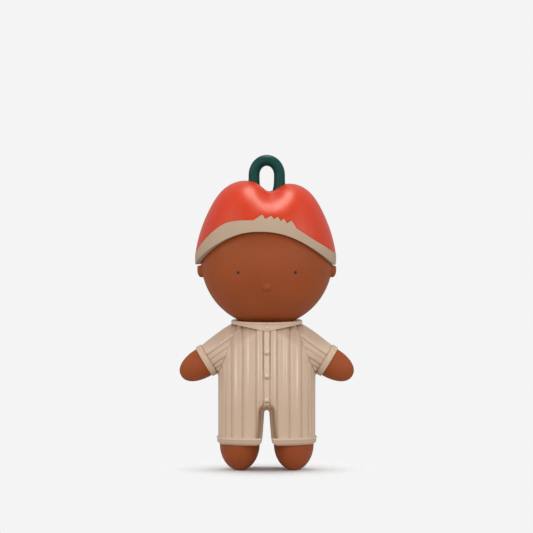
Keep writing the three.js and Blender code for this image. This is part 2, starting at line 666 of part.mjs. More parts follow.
// Shared grid of the two cap skins: degrees up the crown, and degrees round with each tooth of the bite
const CROWN = [40, 50, 59, 67, 74, 81, 88.5];
const TEETH = [...NOTCHES, ...TIPS].map((p) => p[0]).sort((a, b) => a - b);
const BITTEN = TEETH.flatMap((r, i) => (i ? [(TEETH[i - 1] + r) / 2, r] : [r]));
const CAP_ROUNDS = [
  ...steps(36, -180, 180).slice(0, -1).filter((r) => r < TEETH[0] - 4 || r > TEETH.at(-1) + 4),
  ...BITTEN,
].sort((a, b) => a - b);

// Skin between two surfaces, from some edges that vary round the head up to the crown. Each edge has its
// own depth below the cap's outside; the rest has the last one's.
function capShell(edges, inner) {
  const last = edges.at(-1);
  const levels = [
    ...edges,
    ...[0.3, 0.65].map((share) => ({ ...last, up: (r) => last.up(r) + (CROWN[0] - last.up(r)) * share })),
    ...CROWN.map((up) => ({ ...last, up: () => up })),
  ];
  const inside = levels.toReversed().map(({ up }) => CAP_ROUNDS.map((r) => inner(r, up(r))));
  const outside = levels.map(({ up, inset }) => CAP_ROUNDS.map((r) => capPoint(r, up(r), inset)));
  return loft([...inside, ...outside], inside.length - 1);
}

function legSockets(made, radius, low) {
  for (const side of [1, -1]) {
    const bore = rod(radius, CROWN_Z, 20).translate((side * LOOP_SPAN) / 2, 0, low + CROWN_Z / 2);
    made = made.subtract(solid(bore));
  }
  return made;
}

const CROWN_Z = capPoint(90, 80, 0).z;
const LOOP_FOOT = CROWN_Z - PEEL - LOOP_SEAT;

// Cream cap: flush with the peel below the peel's edge, and stepped in under it
function cap() {
  const below = PEEL + SKIN_FIT;
  const shell = capShell(
    [
      { up: rimUp, inset: 0 },
      { up: (round) => peelUp(round) - 2 * PEEL_STEP, inset: 0 },
      { up: (round) => peelUp(round) - PEEL_STEP, inset: below },
      { up: peelUp, inset: below },
    ],
    (round, up) => headSkin(round, up, FIT),
  );
  return legSockets(solid(shell), LOOP_TUBE / 2 + FIT, LOOP_FOOT - FIT);
}

function peelSkin() {
  const shell = capShell([{ up: peelUp, inset: 0 }], (round, up) => capPoint(round, up, PEEL));
  return legSockets(solid(shell), LOOP_TUBE / 2 + FIT, LOOP_FOOT - FIT);
}

// Middle line of the stem loop: up, over and down
class Arch extends THREE.Curve {
  getPoint(t) {
    const half = LOOP_SPAN / 2;
    const leg = CROWN_Z + LOOP_LEG - LOOP_FOOT;
    const over = (Math.PI * (half + LOOP_RISE)) / 2;
    const way = t * (2 * leg + over);
    if (way < leg) return at(half, 0, LOOP_FOOT + way);
    const turn = ((way - leg) / over) * Math.PI;
    if (turn < Math.PI) return at(half * Math.cos(turn), 0, LOOP_FOOT + leg + LOOP_RISE * Math.sin(turn));
    return at(-half, 0, LOOP_FOOT + 2 * leg + over - way);
  }
}

function stemLoop() {
  const ring = new THREE.Shape().absarc(0, 0, LOOP_TUBE / 2, 0, 2 * Math.PI);
  const along = { steps: 22, curveSegments: 8, bevelEnabled: false, extrudePath: new Arch() };
  return solid(new THREE.ExtrudeGeometry(ring, along));
}

// Assembly
const doll = new THREE.Group();
doll.add(piece("romper_body", romper(), KNIT));

const headGroup = new THREE.Group();
headGroup.position.z = HEAD_Z;
headGroup.add(piece("head_shell", head(), SKIN));
const neckLow = NECK_SEAT_Z - WALL - FIT - HEAD_Z;
const neckHigh = 2 * FIT - headDrop(NECK_PEG_HEAD, -WALL);
headGroup.add(piece("neck_peg", peg(NECK_PEG_RADIUS, NECK_PEG_HEAD, neckLow, neckHigh), PEG));
doll.add(headGroup);

const capGroup = new THREE.Group();
capGroup.rotation.z = rad(CAP_TURN);
capGroup.add(piece("cap_liner", cap(), CREAM));
capGroup.add(piece("cap_peel", peelSkin(), RED));
capGroup.add(piece("stem_loop", stemLoop(), GREEN));
headGroup.add(capGroup);

for (const [side, name] of [[1, "left"], [-1, "right"]]) {
  const footPiece = piece("foot_" + name, foot(), SKIN);
  footPiece.position.x = side * LEG_X;
  doll.add(footPiece);

  const eyePlace = onFace(side * EYE_OUT, EYE_DOWN);
  eyePlace.add(piece("eye_" + name, eye(), DARK));
  headGroup.add(eyePlace);

  const arm = shoulderFrame(side);
  arm.add(piece("sleeve_" + name, sleeve(), KNIT));
  const armPeg = peg(ARM_PEG_RADIUS, ARM_PEG_HEAD, ARM_WALL - FIT, WALL + 2 * FIT);
  arm.add(piece("shoulder_peg_" + name, armPeg, PEG));
  const wrist = new THREE.Group();
  wrist.position.set(SLEEVE_DROP, 0, SLEEVE_OUT);
  wrist.rotation.y = BEND;
  wrist.add(piece("hand_" + name, hand(), SKIN));
  arm.add(wrist);
  doll.add(arm);
}

// The whole box stands over the origin
const box = new THREE.Box3().setFromObject(doll, true);
doll.position.y = -(box.min.y + box.max.y) / 2;

export default doll;
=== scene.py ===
# Looks of a palm-size vinyl baby doll in a ribbed romper and a bitten fruit cap.
import math

import bpy
import numpy as np
from mathutils import Matrix, Vector


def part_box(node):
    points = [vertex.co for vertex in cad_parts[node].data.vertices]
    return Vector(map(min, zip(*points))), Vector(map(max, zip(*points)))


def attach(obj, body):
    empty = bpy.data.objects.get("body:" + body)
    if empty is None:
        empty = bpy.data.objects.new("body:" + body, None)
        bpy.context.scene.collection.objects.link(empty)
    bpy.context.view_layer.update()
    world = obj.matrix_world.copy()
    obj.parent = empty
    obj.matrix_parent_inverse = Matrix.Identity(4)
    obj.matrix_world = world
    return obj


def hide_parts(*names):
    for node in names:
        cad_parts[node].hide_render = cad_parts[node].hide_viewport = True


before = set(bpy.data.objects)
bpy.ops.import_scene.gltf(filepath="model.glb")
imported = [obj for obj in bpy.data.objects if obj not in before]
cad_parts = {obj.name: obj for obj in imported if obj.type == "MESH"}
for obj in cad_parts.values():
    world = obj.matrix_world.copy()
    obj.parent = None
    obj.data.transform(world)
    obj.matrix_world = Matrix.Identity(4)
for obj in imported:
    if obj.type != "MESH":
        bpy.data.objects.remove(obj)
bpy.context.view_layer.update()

MM = 0.001

# Sizes in millimetres and angles in degrees. Most are those of the solids; the rest only shape the looks.
FIT = 0.3
WALL = 2.2

# Trunk, the gap between its legs and its hems
BODY_HALF_WIDTH = 18.75
BODY_HALF_DEPTH = 14
BODY_SQUARENESS = 2.6
BELLY = 1.6
BELLY_Z = 29.0
SHOULDER_SLOPE = 13
CROTCH_Z = 23.6
GAP_HALF = 0.95
GAP_SLOPE = 0.068
GAP_FLARE = 0.9
GAP_FLARE_RISE = 1.1
INSEAM = 1.75
INSEAM_TOP = 3.2
HEM_Z = 10.1
HEM_HEIGHT = 2.8
HEM_PROUD = 0.12
HEM_BEAD = 0.26
BEAD_DROP = 0.42

# Ribs and ridges by length round the trunk, fine lines and painted highlight streaks by distance across it,
# all from the front middle; fine lines and streaks also have a share of the full strength
RIB_PITCH = 2.5
RIB_DEPTH = 0.42
RIB_ARCH = 0.55
RIB_LINE = 0.45
RIB_WIDTH = 0.24
RIBS_TO_LEFT = [1.35, 3.9, 8.7, 13.6, 17.3]
RIBS_TO_RIGHT = [1.35, 4.0, 9.2, 13.7, 16.9]
RIDGE_PROUD = 0.12
RIDGE_WIDTH = 0.32
RIDGES_TO_LEFT = [2.9, 6.4, 11.7]
RIDGES_TO_RIGHT = [3.1, 6.95, 12.0]
FINE_DEPTH = 0.08
FINE_WIDTH = 0.22
FINE_TO_LEFT = [[2.33, 1.0], [5.6, 0.5], [7.2, 0.5], [10.65, 0.8]]
FINE_TO_RIGHT = [[2.5, 1.0], [5.97, 0.6], [7.1, 0.5], [10.8, 0.7]]
STREAK_WIDTH = 0.28
STREAK_TALL = 9
STREAK_Z = 44
OUTER_STREAK = 10
OUTER_STREAK_Z = 38
STREAKS_TO_LEFT = [
    [1.73, 0.6], [2.92, 0.75], [4.8, 0.25], [6.5, 0.5], [7.43, 0.4], [9.4, 0.25], [11.6, 0.9], [15.5, 0.3],
]
STREAKS_TO_RIGHT = [
    [1.95, 0.45], [3.13, 0.6], [4.83, 0.2], [6.85, 0.5], [7.35, 0.4], [9.68, 0.25], [11.8, 0.8], [15.5, 0.3],
]
WRAP_START = 14.5
WRAP_BLEND = 2

# Collar, placket and buttons
COLLAR_Z = 58.0
COLLAR_SAG = 1.1
COLLAR_RADIUS = 13.65
COLLAR_HEIGHT = 2.1
COLLAR_HALF_DEPTH = 14.2
COLLAR_PROUD = 0.3
COLLAR_THICK = 1.3
COLLAR_THICKER = 1.9
COLLAR_SIDE = 9
RIM_DROP = 0.85
RIM_TALL = 1.05
LEAF_DROP = 2.45
LEAF_HALF = 12.6
PLACKET_WIDTH = 2.1
PLACKET_PROUD = 0.35
PLACKET_LENGTH = 29.5
PLACKET_FADE_Z = 42.0
PLACKET_FADE = 10
PLACKET_SOFTER = 0.6
BUTTON_DIAMETER = 1.7
BUTTON_PROUD = 0.55
BUTTON_COUNT = 4
BUTTON_DROP = 3.0
BUTTON_PITCH = 9.1
BUTTON_SHADE_WIDTH = 0.9
BUTTON_SHADE_DROP = 1.15

# Feet
LEG_X = 10.3
FOOT_HALF_WIDTH = 7.6
FOOT_HALF_DEPTH = 11
FOOT_ROUND = 10.1
FOOT_LONG = 11
# Painted shade: share of the darker skin colour over the whole of each foot
FOOT_PAINTED_SHADE = 0.2

# Head
HEAD_RADIUS = 25
HEAD_HALF_HEIGHT = 25
EYE_OUT = 25.8
EYE_DOWN = 7.8
EYE_DIAMETER = 1.3
EYE_PROUD = 0.25
NOSE_DOWN = 21.4
NOSE_WIDTH = 3
NOSE_PROUD = 0.9
NOSE_RING = 1.75
EAR_DOWN = 3.1
EAR_HEIGHT = 6.4
EAR_DEPTH = 5
EAR_PROUD = 1.55
NECK_PEG_RADIUS = 3.5
NECK_PEG_HEAD = 6

# Arms; the lines of a sleeve lie at a distance below its upper edge, with a share of the full depth
ARMPIT_Z = 36.4
SHOULDER_RADIUS = 10.3
SHOULDER_TILT = 22
SLEEVE_OUT = 6.54
SLEEVE_DROP = 7.87
SLEEVE_BEND = 53.3
SLEEVE_FULLNESS = 2.2
CUFF_RADIUS = 6.55
CUFF_PROUD = 0.6
CUFF_WIDTH = 2.4
CUFF_PROFILE = [
    [0.01, -0.12], [0.03, 0.25], [0.1, 0.38], [0.22, 0.44], [0.5, 0.46], [1.5, 0.48], [1.68, 0.44],
    [1.78, 0.3], [1.9, 0.38], [2.15, 0.4], [2.32, 0.34], [2.4, 0.2], [2.4, -0.1], [2.3, -0.2], [1.0, -0.25],
]
SLEEVE_LINES = [[4.2, 1.0], [6.4, 0.45], [8.7, 1.0], [10.3, 0.8], [11.9, 0.8]]
FOLD_ABOVE = 0.6
FOLD_WIDTH = 0.38
SLEEVE_TOP = [[14.14, 55.8], [24.7, 47.8]]
SEAM = 0.03
HAND_RADIUS = 5.75
HAND_LENGTH = 10.2
ARM_SEAT_RADIUS = 8.2
ARM_SEAT_DEPTH = 1
ARM_PEG_RADIUS = 2
ARM_PEG_HEAD = 3.4

# Cap: thickness by angle up, and the edge of the peel by angle round
CAP_TURN = -5
RIM_FRONT = 12.55
RIM_SIDE = -1.55
RIM_SHARPNESS = 2.3
PEEL = 0.5
CREAM_PROUD = 0.12
CAP_LEAN = 0.45
CREASE_DEPTH = 4.1
CREASE_HALF_WIDTH = 3.6
CREASE_ASIDE = 1.0
CREASE_SKEW = 7.9
CREASE_FLARE = 4
CREASE_FLARE_FROM = 80
CREASE_FLARE_SPAN = 50
CREASE_START = 38
CREASE_SPAN = 28
CAP_BODY = [
    [-8, 1.5], [5, 1.85], [14, 1.85], [22, 2.1], [32, 2.75], [43, 4.0], [52, 5.5], [60, 6.6], [67, 6.9],
    [74, 6.5], [82, 5.7], [90, 5.4], [98, 5.7],
]
EDGE_BEFORE = [
    [-180, 3.4], [-92, 3], [-76, 3.7], [-66, 6.3], [-49.5, 11.6], [-36.8, 14.8], [-24, 16], [-7.4, 16.3],
]
EDGE_AFTER = [[32.8, 13.4], [39.3, 11.7], [49.3, 9.1], [63.5, 6.3], [78, 4], [92, 3.2], [180, 3.4]]
NOTCHES = [EDGE_BEFORE[-1], [3.6, 16.8], [11.9, 16.8], [18.1, 16.1], [24.1, 15.2], EDGE_AFTER[0]]
TIPS = [[0.6, 18.3], [9.3, 17.8], [15.9, 17.5], [21.7, 16.8], [29.1, 16.1]]
TOOTH_SHARP = 0.25

# Loop
LOOP_TUBE = 4.2
LOOP_SPAN = 9.7
LOOP_LEG = 4.15
LOOP_RISE = 5.6
LOOP_SEAT = 2.2
LOOP_FLARE = 0.22

# Fineness of the skins
ROMPER_STEP = (0.2, 0.3, 0.33)
COLLAR_STEP = 0.17
HEAD_STEP = 0.45
ROUND = 96
SLEEVE_ROUND = 280
LOOP_ROUND = 40
PULLS = 6
EVENED_PULLS = 3

# Places read from the frame, and values that follow from the sizes
low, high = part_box("neck_peg")
MIDDLE_Y = (low.y + high.y) / 2 / MM
HEAD_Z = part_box("head_shell")[1].z / MM - HEAD_HALF_HEIGHT
NECK_SEAT_Z = HEAD_Z - HEAD_HALF_HEIGHT - FIT
TILT = math.radians(SHOULDER_TILT)
BEND = math.radians(SLEEVE_BEND)
SHOULDER_X = BODY_HALF_WIDTH - SHOULDER_RADIUS * math.sin(TILT)
SHOULDER_Z = ARMPIT_Z + SHOULDER_RADIUS * math.cos(TILT)


# Small helpers
def smin(a, b, k):
    h = np.clip(0.5 + 0.5 * (b - a) / k, 0, 1)
    return b + (a - b) * h - k * h * (1 - h)


def smax(a, b, k):
    return -smin(-a, -b, k)


def ease(t):
    t = np.clip(t, 0, 1)
    return t * t * (3 - 2 * t)


def hump(off, width):
    """1 where the offset is 0, falling to nothing on both sides."""
    return np.exp(-((off / width) ** 2))


def spot(across, wide, up, tall):
    return np.exp(-((across / wide) ** 2) - (up / tall) ** 2)


def curve(points, x):
    """Smooth line through points in order of their first value."""
    px, py = np.array(points, float).T
    slope = np.gradient(py, px)
    slope[1:-1] = (py[2:] - py[:-2]) / (px[2:] - px[:-2])
    k = np.clip(np.searchsorted(px, x, side="right") - 1, 0, len(px) - 2)
    w = px[k + 1] - px[k]
    rise = py[k + 1] - py[k]
    t = np.clip((x - px[k]) / w, 0, 1)
    bend = (1 - t) * (w * slope[k] - rise) + t * (rise - w * slope[k + 1])
    return py[k] + t * rise + t * (1 - t) * bend


def ellipsoid(x, y, z, a, b, c):
    k0 = np.sqrt((x / a) ** 2 + (y / b) ** 2 + (z / c) ** 2)
    k1 = np.sqrt((x / a**2) ** 2 + (y / b**2) ** 2 + (z / c**2) ** 2) + 1e-9
    return k0 * (k0 - 1) / k1


def nets(field, low, high, step):
    """Points and quads of the skin where a field changes sign, pulled onto the exact surface."""
    step = np.ones(3) * step
    low = np.array(low, float) - 1.5 * step
    count = np.ceil((np.array(high, float) + 1.5 * step - low) / step).astype(int) + 1
    gx, gy, gz = [low[i] + step[i] * np.arange(count[i]) for i in range(3)]
    value = np.broadcast_to(field(gx[:, None, None], gy[None, :, None], gz[None, None, :]), count)
    inside = value < 0
    corners = [(i, j, k) for i in (0, 1) for j in (0, 1) for k in (0, 1)]
    cells = count - 1
    full = sum(
        inside[i : i + cells[0], j : j + cells[1], k : k + cells[2]].astype(np.int8) for i, j, k in corners
    )
    active = (full > 0) & (full < 8)
    where = np.argwhere(active)
    ids = np.full(active.shape, -1, np.int64)
    ids[active] = np.arange(len(where))
    at = np.stack([value[tuple((where + c).T)] for c in corners], 1)
    total = np.zeros((len(where), 3))
    hits = np.zeros(len(where))
    for a, ca in enumerate(corners):
        for axis in range(3):
            if ca[axis]:
                continue
            b = corners.index(tuple(c + (i == axis) for i, c in enumerate(ca)))
            crossed = (at[:, a] < 0) != (at[:, b] < 0)
            share = np.where(crossed, at[:, a] / (at[:, a] - at[:, b] + 1e-30), 0)
            point = np.tile(np.array(ca, float), (len(where), 1))
            point[:, axis] += share
            total += point * crossed[:, None]
            hits += crossed
    points = low + (where + total / hits[:, None]) * step
    quads = []
    for axis in range(3):
        u, v = (axis + 1) % 3, (axis + 2) % 3
        ahead = np.take(inside, range(1, count[axis]), axis)
        behind = np.take(inside, range(0, count[axis] - 1), axis)
        for outward in (True, False):
            edges = np.argwhere((behind & ~ahead) if outward else (ahead & ~behind))
            du = np.eye(3, dtype=int)[u]
            dv = np.eye(3, dtype=int)[v]
            ring = [edges - du - dv, edges - dv, edges, edges - du]
            quad = np.stack([ids[tuple(r.T)] for r in ring], 1)
            quads.append(quad if outward else quad[:, ::-1])
    quads = np.concatenate(quads)
    near = np.bincount(quads.ravel(), minlength=len(points)) * 2
    e = step.min() * 0.1
    for turn in range(PULLS):
        if turn < EVENED_PULLS:
            beside = np.zeros_like(points)
            for k in range(4):
                ends = points[quads[:, k - 1]] + points[quads[:, (k + 1) % 4]]
                for axis in range(3):
                    beside[:, axis] += np.bincount(quads[:, k], ends[:, axis], len(points))
            points = points + 0.6 * (beside / near[:, None] - points)
        x, y, z = points.T
        d = field(x, y, z)
        g = np.stack(
            [
                field(x + e, y, z) - field(x - e, y, z),
                field(x, y + e, z) - field(x, y - e, z),
                field(x, y, z + e) - field(x, y, z - e),
            ],
            1,
        ) / (2 * e)
        move = d[:, None] * g / np.maximum((g * g).sum(1), 0.05)[:, None]
        size = np.linalg.norm(move, axis=1, keepdims=True)
        points = points - move * np.minimum(1, 0.6 * step.min() / np.maximum(size, 1e-9))
    return points, quads.tolist()


def loft(rings):
    """Points and faces of a skin through rings, with a fan over each end."""
    rings = np.array(rings, float)
    r, n, _ = rings.shape
    points = np.concatenate([rings.reshape(-1, 3), rings[:1].mean(1), rings[-1:].mean(1)])
    i = np.arange(n)
    j = (i + 1) % n
    faces = []
    for k in range(r - 1):
        faces += np.stack([k * n + i, k * n + j, (k + 1) * n + j, (k + 1) * n + i], 1).tolist()
    faces += np.stack([j, i, np.full(n, r * n)], 1).tolist()
    top = (r - 1) * n
    faces += np.stack([top + i, top + j, np.full(n, r * n + 1)], 1).tolist()
    return points, faces


def turned(profile, sides):
    """Skin of a profile of (radius, height) turned about the Z axis."""
    t = np.linspace(0, 2 * math.pi, sides, endpoint=False)
    return loft([np.stack([r * np.cos(t), r * np.sin(t), np.full(sides, z)], 1) for r, z in profile])


def piece(name, made, material, slot, body, *nodes, place=None, painted_tone=None):
    """A skin in millimetres as a piece that stands for CAD nodes and rides on a body.

    Each point's tone is painted light: above 0 painted shade in hollows, below 0 a painted highlight.
    """
    points, faces = made
    if place is not None:
        turn = np.array(place)
        points = points @ turn[:3, :3].T + turn[:3, 3]
    mesh = bpy.data.meshes.new(name)
    mesh.from_pydata((points * MM).tolist(), [], faces)
    mesh.polygons.foreach_set("use_smooth", np.ones(len(mesh.polygons), bool))
    painted_tone = np.zeros(len(points)) if painted_tone is None else painted_tone
    # Painted light per point: above 0 painted shade, below 0 a painted highlight
    mesh.attributes.new("painted_light", "FLOAT", "POINT").data.foreach_set("value", painted_tone.astype(np.float32))
    mesh.materials.append(material)
    mesh.update()
    obj = bpy.data.objects.new(name, mesh)
    bpy.context.scene.collection.objects.link(obj)
    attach(obj, body)
    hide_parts(*nodes)
    return obj


# Materials; noise scales are per metre
CLOUD_SCALE = 95
SHEEN_SCALE = 420
GRAIN_SCALE = 2400
GRAIN_HEIGHT = 0.000012
NOISE_LOW, NOISE_HIGH = 0.3, 0.7
ROUGH_SPREAD = 0.05
VINYL_IOR = 1.46
MIX_A, MIX_B, MIX_OUT = 6, 7, 2  # colour sockets of a Mix node


def linear(r, g, b):
    """Linear colour from sRGB levels of 0 to 255."""

    def one(c):
        c /= 255
        return c / 12.92 if c <= 0.04045 else ((c + 0.055) / 1.055) ** 2.4

    return (one(r), one(g), one(b), 1)


def vinyl(name, colour, shade, rough, mottle=0.05, grain=1.0, shine=0.5, painted_highlight=None, tint=None):
    """Moulded vinyl: cloudy colour, painted shade in hollows and a painted highlight on crests, both set per
    point, and a fine grain.
    """
    mat = bpy.data.materials.new(name)
    mat.use_nodes = True
    nodes, links = mat.node_tree.nodes, mat.node_tree.links
    bsdf = nodes["Principled BSDF"]
    place = nodes.new("ShaderNodeTexCoord")

    def noise(scale, detail):
        n = nodes.new("ShaderNodeTexNoise")
        n.inputs["Scale"].default_value = scale
        n.inputs["Detail"].default_value = detail
        links.new(place.outputs["Object"], n.inputs["Vector"])
        return n.outputs["Fac"]

    def mix(fac, a, b):
        m = nodes.new("ShaderNodeMix")
        m.data_type = "RGBA"
        links.new(fac, m.inputs["Factor"])
        for key, value in ((MIX_A, a), (MIX_B, b)):
            if isinstance(value, tuple):
                m.inputs[key].default_value = value
            else:
                links.new(value, m.inputs[key])
        return m.outputs[MIX_OUT]

    def ranged(value, a, b, c, d):
        m = nodes.new("ShaderNodeMapRange")
        links.new(value, m.inputs["Value"])
        for key, v in zip(("From Min", "From Max", "To Min", "To Max"), (a, b, c, d)):
            m.inputs[key].default_value = v
        return m.outputs["Result"]

    cloud = ranged(noise(CLOUD_SCALE, 3), NOISE_LOW, NOISE_HIGH, 0, 1)
    light = tuple(min(1, c * (1 + mottle)) for c in colour[:3]) + (1,)
    dark = tuple(c * (1 - mottle) for c in colour[:3]) + (1,)
    painted_light = nodes.new("ShaderNodeAttribute")
    painted_light.attribute_name = "painted_light"
    # Painted shade: where the per-point tone is above 0, the colour turns towards the darker shade colour
    base = mix(painted_light.outputs["Fac"], mix(cloud, dark, light), shade)
    # Painted highlight: where the per-point tone is below 0, the colour turns towards a lighter one
    if painted_highlight:
        base = mix(ranged(painted_light.outputs["Fac"], 0, -1, 0, 1), base, painted_highlight)
    links.new(base, bsdf.inputs["Base Color"])
    sheen = ranged(noise(SHEEN_SCALE, 2), NOISE_LOW, NOISE_HIGH, rough - ROUGH_SPREAD, rough + ROUGH_SPREAD)
    links.new(sheen, bsdf.inputs["Roughness"])
    bump = nodes.new("ShaderNodeBump")
    bump.inputs["Strength"].default_value = 1
    bump.inputs["Distance"].default_value = GRAIN_HEIGHT * grain
    links.new(noise(GRAIN_SCALE, 2), bump.inputs["Height"])
    links.new(bump.outputs["Normal"], bsdf.inputs["Normal"])
    bsdf.inputs["IOR"].default_value = VINYL_IOR
    bsdf.inputs["Specular IOR Level"].default_value = shine
    if tint:
        bsdf.inputs["Specular Tint"].default_value = tint
    return mat


# The romper's lighter colour is a painted highlight for rib streaks, placket, hem bead and buttons
KNIT = vinyl(
    "romper_vinyl", linear(199, 172, 148), linear(138, 106, 82), rough=0.32, mottle=0.03, shine=0.4,
    painted_highlight=linear(232, 216, 200),
)
SKIN = vinyl("skin_vinyl", linear(146, 70, 31), linear(104, 47, 20), rough=0.55, shine=0.22)
RED = vinyl(
    "peel_vinyl", linear(190, 42, 1), linear(158, 32, 4), rough=0.38, grain=3.0, shine=0.58,
    tint=(1, 0.9, 0.72, 1),
)
CREAM = vinyl("cream_vinyl", linear(171, 147, 124), linear(160, 128, 96), rough=0.6, mottle=0.04, shine=0.3)
GREEN = vinyl(
    "stem_vinyl", linear(4, 55, 49), linear(8, 34, 32), rough=0.42, mottle=0.08, shine=0.3,
    tint=(0.6, 0.97, 0.97, 1),
)
DARK = vinyl("eye_vinyl", linear(34, 28, 44), linear(20, 18, 24), rough=0.25, mottle=0.1)
PEG = vinyl("peg_plastic", linear(217, 213, 204), linear(190, 184, 172), rough=0.5, mottle=0.03)


# Romper; QUARTER is the length along a quarter of the trunk's plan outline
QUARTER_TURN = np.linspace(0, math.pi / 2, 400)
QUARTER_X = BODY_HALF_WIDTH * np.sin(QUARTER_TURN) ** (2 / BODY_SQUARENESS)
QUARTER_Y = BODY_HALF_DEPTH * np.cos(QUARTER_TURN) ** (2 / BODY_SQUARENESS)
QUARTER = np.concatenate([[0], np.cumsum(np.hypot(np.diff(QUARTER_X), np.diff(QUARTER_Y)))])
LENGTHS = np.linspace(0, 2 * QUARTER[-1], 6000)


def column(x, y):
    """Distance from the trunk's plan outline, and length round it from the front middle."""
    n = BODY_SQUARENESS
    u, v = np.abs(x) / BODY_HALF_WIDTH, np.abs(y) / BODY_HALF_DEPTH
    total = u**n + v**n + 1e-12
    slope = np.hypot(u ** (n - 1) / BODY_HALF_WIDTH, v ** (n - 1) / BODY_HALF_DEPTH) * total ** (1 / n - 1)
    part = np.interp(np.arctan2(u ** (n / 2), v ** (n / 2)), QUARTER_TURN, QUARTER)
    straight = np.interp(np.abs(x), QUARTER_X, QUARTER)
    part = straight + (part - straight) * ease((np.abs(x) - WRAP_START) / WRAP_BLEND)
    return (total ** (1 / n) - 1) / slope, np.where(y < 0, part, 2 * QUARTER[-1] - part)


def groove_table(front, ridges, fine):
    """Depth of the ribs by length round, from the front middle to the back middle."""
    rest = LENGTHS[-1] - front[-1]
    places = np.array(front + list(np.linspace(front[-1], LENGTHS[-1], round(rest / RIB_PITCH) + 1)[1:]))
    after = np.clip(np.searchsorted(places, LENGTHS), 1, len(places) - 1)
    half = (places[after] - places[after - 1]) / 2
    off = np.clip(np.abs(LENGTHS - places[after] + half) / half, 0, 1)
    gap = np.abs(LENGTHS[:, None] - places).min(1)
    line = np.abs(LENGTHS[:, None] - np.array(ridges)).min(1)
    arch = np.minimum(1, half / 1.6) * off**3
    groove = RIB_DEPTH * (RIB_ARCH * arch + RIB_LINE * hump(gap, RIB_WIDTH))
    groove = np.where(LENGTHS < places[0], RIB_DEPTH, groove)
    for place, share in fine:
        away = LENGTHS - np.interp(place, QUARTER_X, QUARTER)
        groove = groove + FINE_DEPTH * share * hump(away, FINE_WIDTH)
    return groove - RIDGE_PROUD * hump(line, RIDGE_WIDTH)


GROOVES = {
    1: groove_table(RIBS_TO_LEFT, RIDGES_TO_LEFT, FINE_TO_LEFT),
    -1: groove_table(RIBS_TO_RIGHT, RIDGES_TO_RIGHT, FINE_TO_RIGHT),
}


def groove_at(x, length):
    return np.where(x > 0, np.interp(length, LENGTHS, GROOVES[1]), np.interp(length, LENGTHS, GROOVES[-1]))


def belly(z):
    """Bulge of the front and back at a height: none at the hem and the collar."""
    span = np.where(z > BELLY_Z, COLLAR_Z - COLLAR_SAG - BELLY_Z, BELLY_Z - HEM_Z)
    return BELLY * np.cos(math.pi / 2 * np.minimum(1, np.abs(z - BELLY_Z) / span)) ** 2


def shoulder_reach(z):
    t = np.maximum(0, (z - COLLAR_Z + COLLAR_SAG) / SHOULDER_SLOPE + 1)
    return COLLAR_RADIUS + (BODY_HALF_WIDTH - COLLAR_RADIUS) * (1 - t**1.5)


def shoulder_axes(x, y, z, side):
    """Place in a shoulder's own frame: out along the arm's axis, down across it, and off the axis."""
    out = (side * x - SHOULDER_X) * math.cos(TILT) + (z - SHOULDER_Z) * math.sin(TILT)
    down = (side * x - SHOULDER_X) * math.sin(TILT) - (z - SHOULDER_Z) * math.cos(TILT)
    return out, down, np.hypot(down, y)


def leg_gap(x, z):
    """Distance outside the gap between the legs, seen from the front."""
    top = CROTCH_Z - GAP_HALF
    flare = GAP_FLARE * np.exp(-np.maximum(z - HEM_Z, 0) / GAP_FLARE_RISE)
    half = GAP_HALF + GAP_SLOPE * (top - z) + flare
    return np.where(z < top, np.abs(x) - half, np.hypot(x, z - top) - GAP_HALF)


def inseam_fade(z):
    return ease((CROTCH_Z + INSEAM_TOP - z) / 2)


def placket_fade(z):
    """1 in the lower half of the placket, where it is softer, and 0 in the upper half."""
    return ease((PLACKET_FADE_Z - z) / PLACKET_FADE)


def button_z(i):
    return COLLAR_Z - BUTTON_DROP - BUTTON_PITCH * i


def trunk(x, y, z):
    """Trunk's smooth skin, distance from its plan outline and length round it."""
    full = y / (1 + belly(z) / BODY_HALF_DEPTH)
    wall, length = column(x, full)
    skin = smax(wall, 0.85 * (np.hypot(x, full) - 1.03 * shoulder_reach(z)), 1.6)
    for side in (1, -1):
        out, _, off = shoulder_axes(x, y, z, side)
        flare = np.maximum(-out, 0) + 2 * np.maximum(0, ARMPIT_Z + 4 - z)
        trim = np.minimum(0.7 * (off - SHOULDER_RADIUS - flare), np.abs(y) - SHOULDER_RADIUS / 2)
        skin = smax(skin, trim, 0.8)
    return skin, wall, length


def below_top(x, z):
    """Distance below the upper edge of a sleeve, seen from the front."""
    (x0, z0), (x1, z1) = SLEEVE_TOP
    return ((x - x0) * (z1 - z0) - (z - z0) * (x1 - x0)) / math.hypot(x1 - x0, z1 - z0)


def neck_seat(x, y, z):
    return ellipsoid(x, y, z - HEAD_Z, HEAD_RADIUS + FIT, HEAD_RADIUS + FIT, HEAD_HALF_HEIGHT + FIT)


def collar(x, y, z):
    """Low rim round the neck, with a flat leaf that lies on the chest down to a wide V."""
    y = y - MIDDLE_Y
    skin = trunk(x, y, z)[0]
    upper = COLLAR_Z - RIM_DROP - 0.15 * np.maximum(0, -y / (np.hypot(x, y) + 1e-9))
    leaf = np.where(y < 0, np.clip(1 - np.abs(x) / LEAF_HALF, 0, 1), 0)
    lower = upper - RIM_TALL - LEAF_DROP * leaf - 0.6 * np.minimum(1, np.abs(x) / COLLAR_RADIUS) ** 6
    around = np.hypot(1.03 * x, y * COLLAR_RADIUS / COLLAR_HALF_DEPTH) - COLLAR_RADIUS - COLLAR_PROUD
    chest = smax(skin - COLLAR_PROUD, np.maximum(np.abs(x) - LEAF_HALF, y + 3), 0.3)
    outer = smin(around, chest, 0.3)
    line = 0.22 * hump(z - upper + RIM_TALL, 0.18) * ease(leaf / 0.15)
    line = line + 0.2 * hump(x, 0.3) * (y < 0) * ease((upper - 0.2 - z) / 0.5)
    band = smax(smax(outer + line, lower - z, 0.08), z - upper, 0.35)
    inward = COLLAR_THICK + COLLAR_THICKER * ease((np.abs(x) - COLLAR_SIDE) / 1.3)
    return smax(np.maximum(band, -outer - inward), -neck_seat(x, y, z), 0.3)


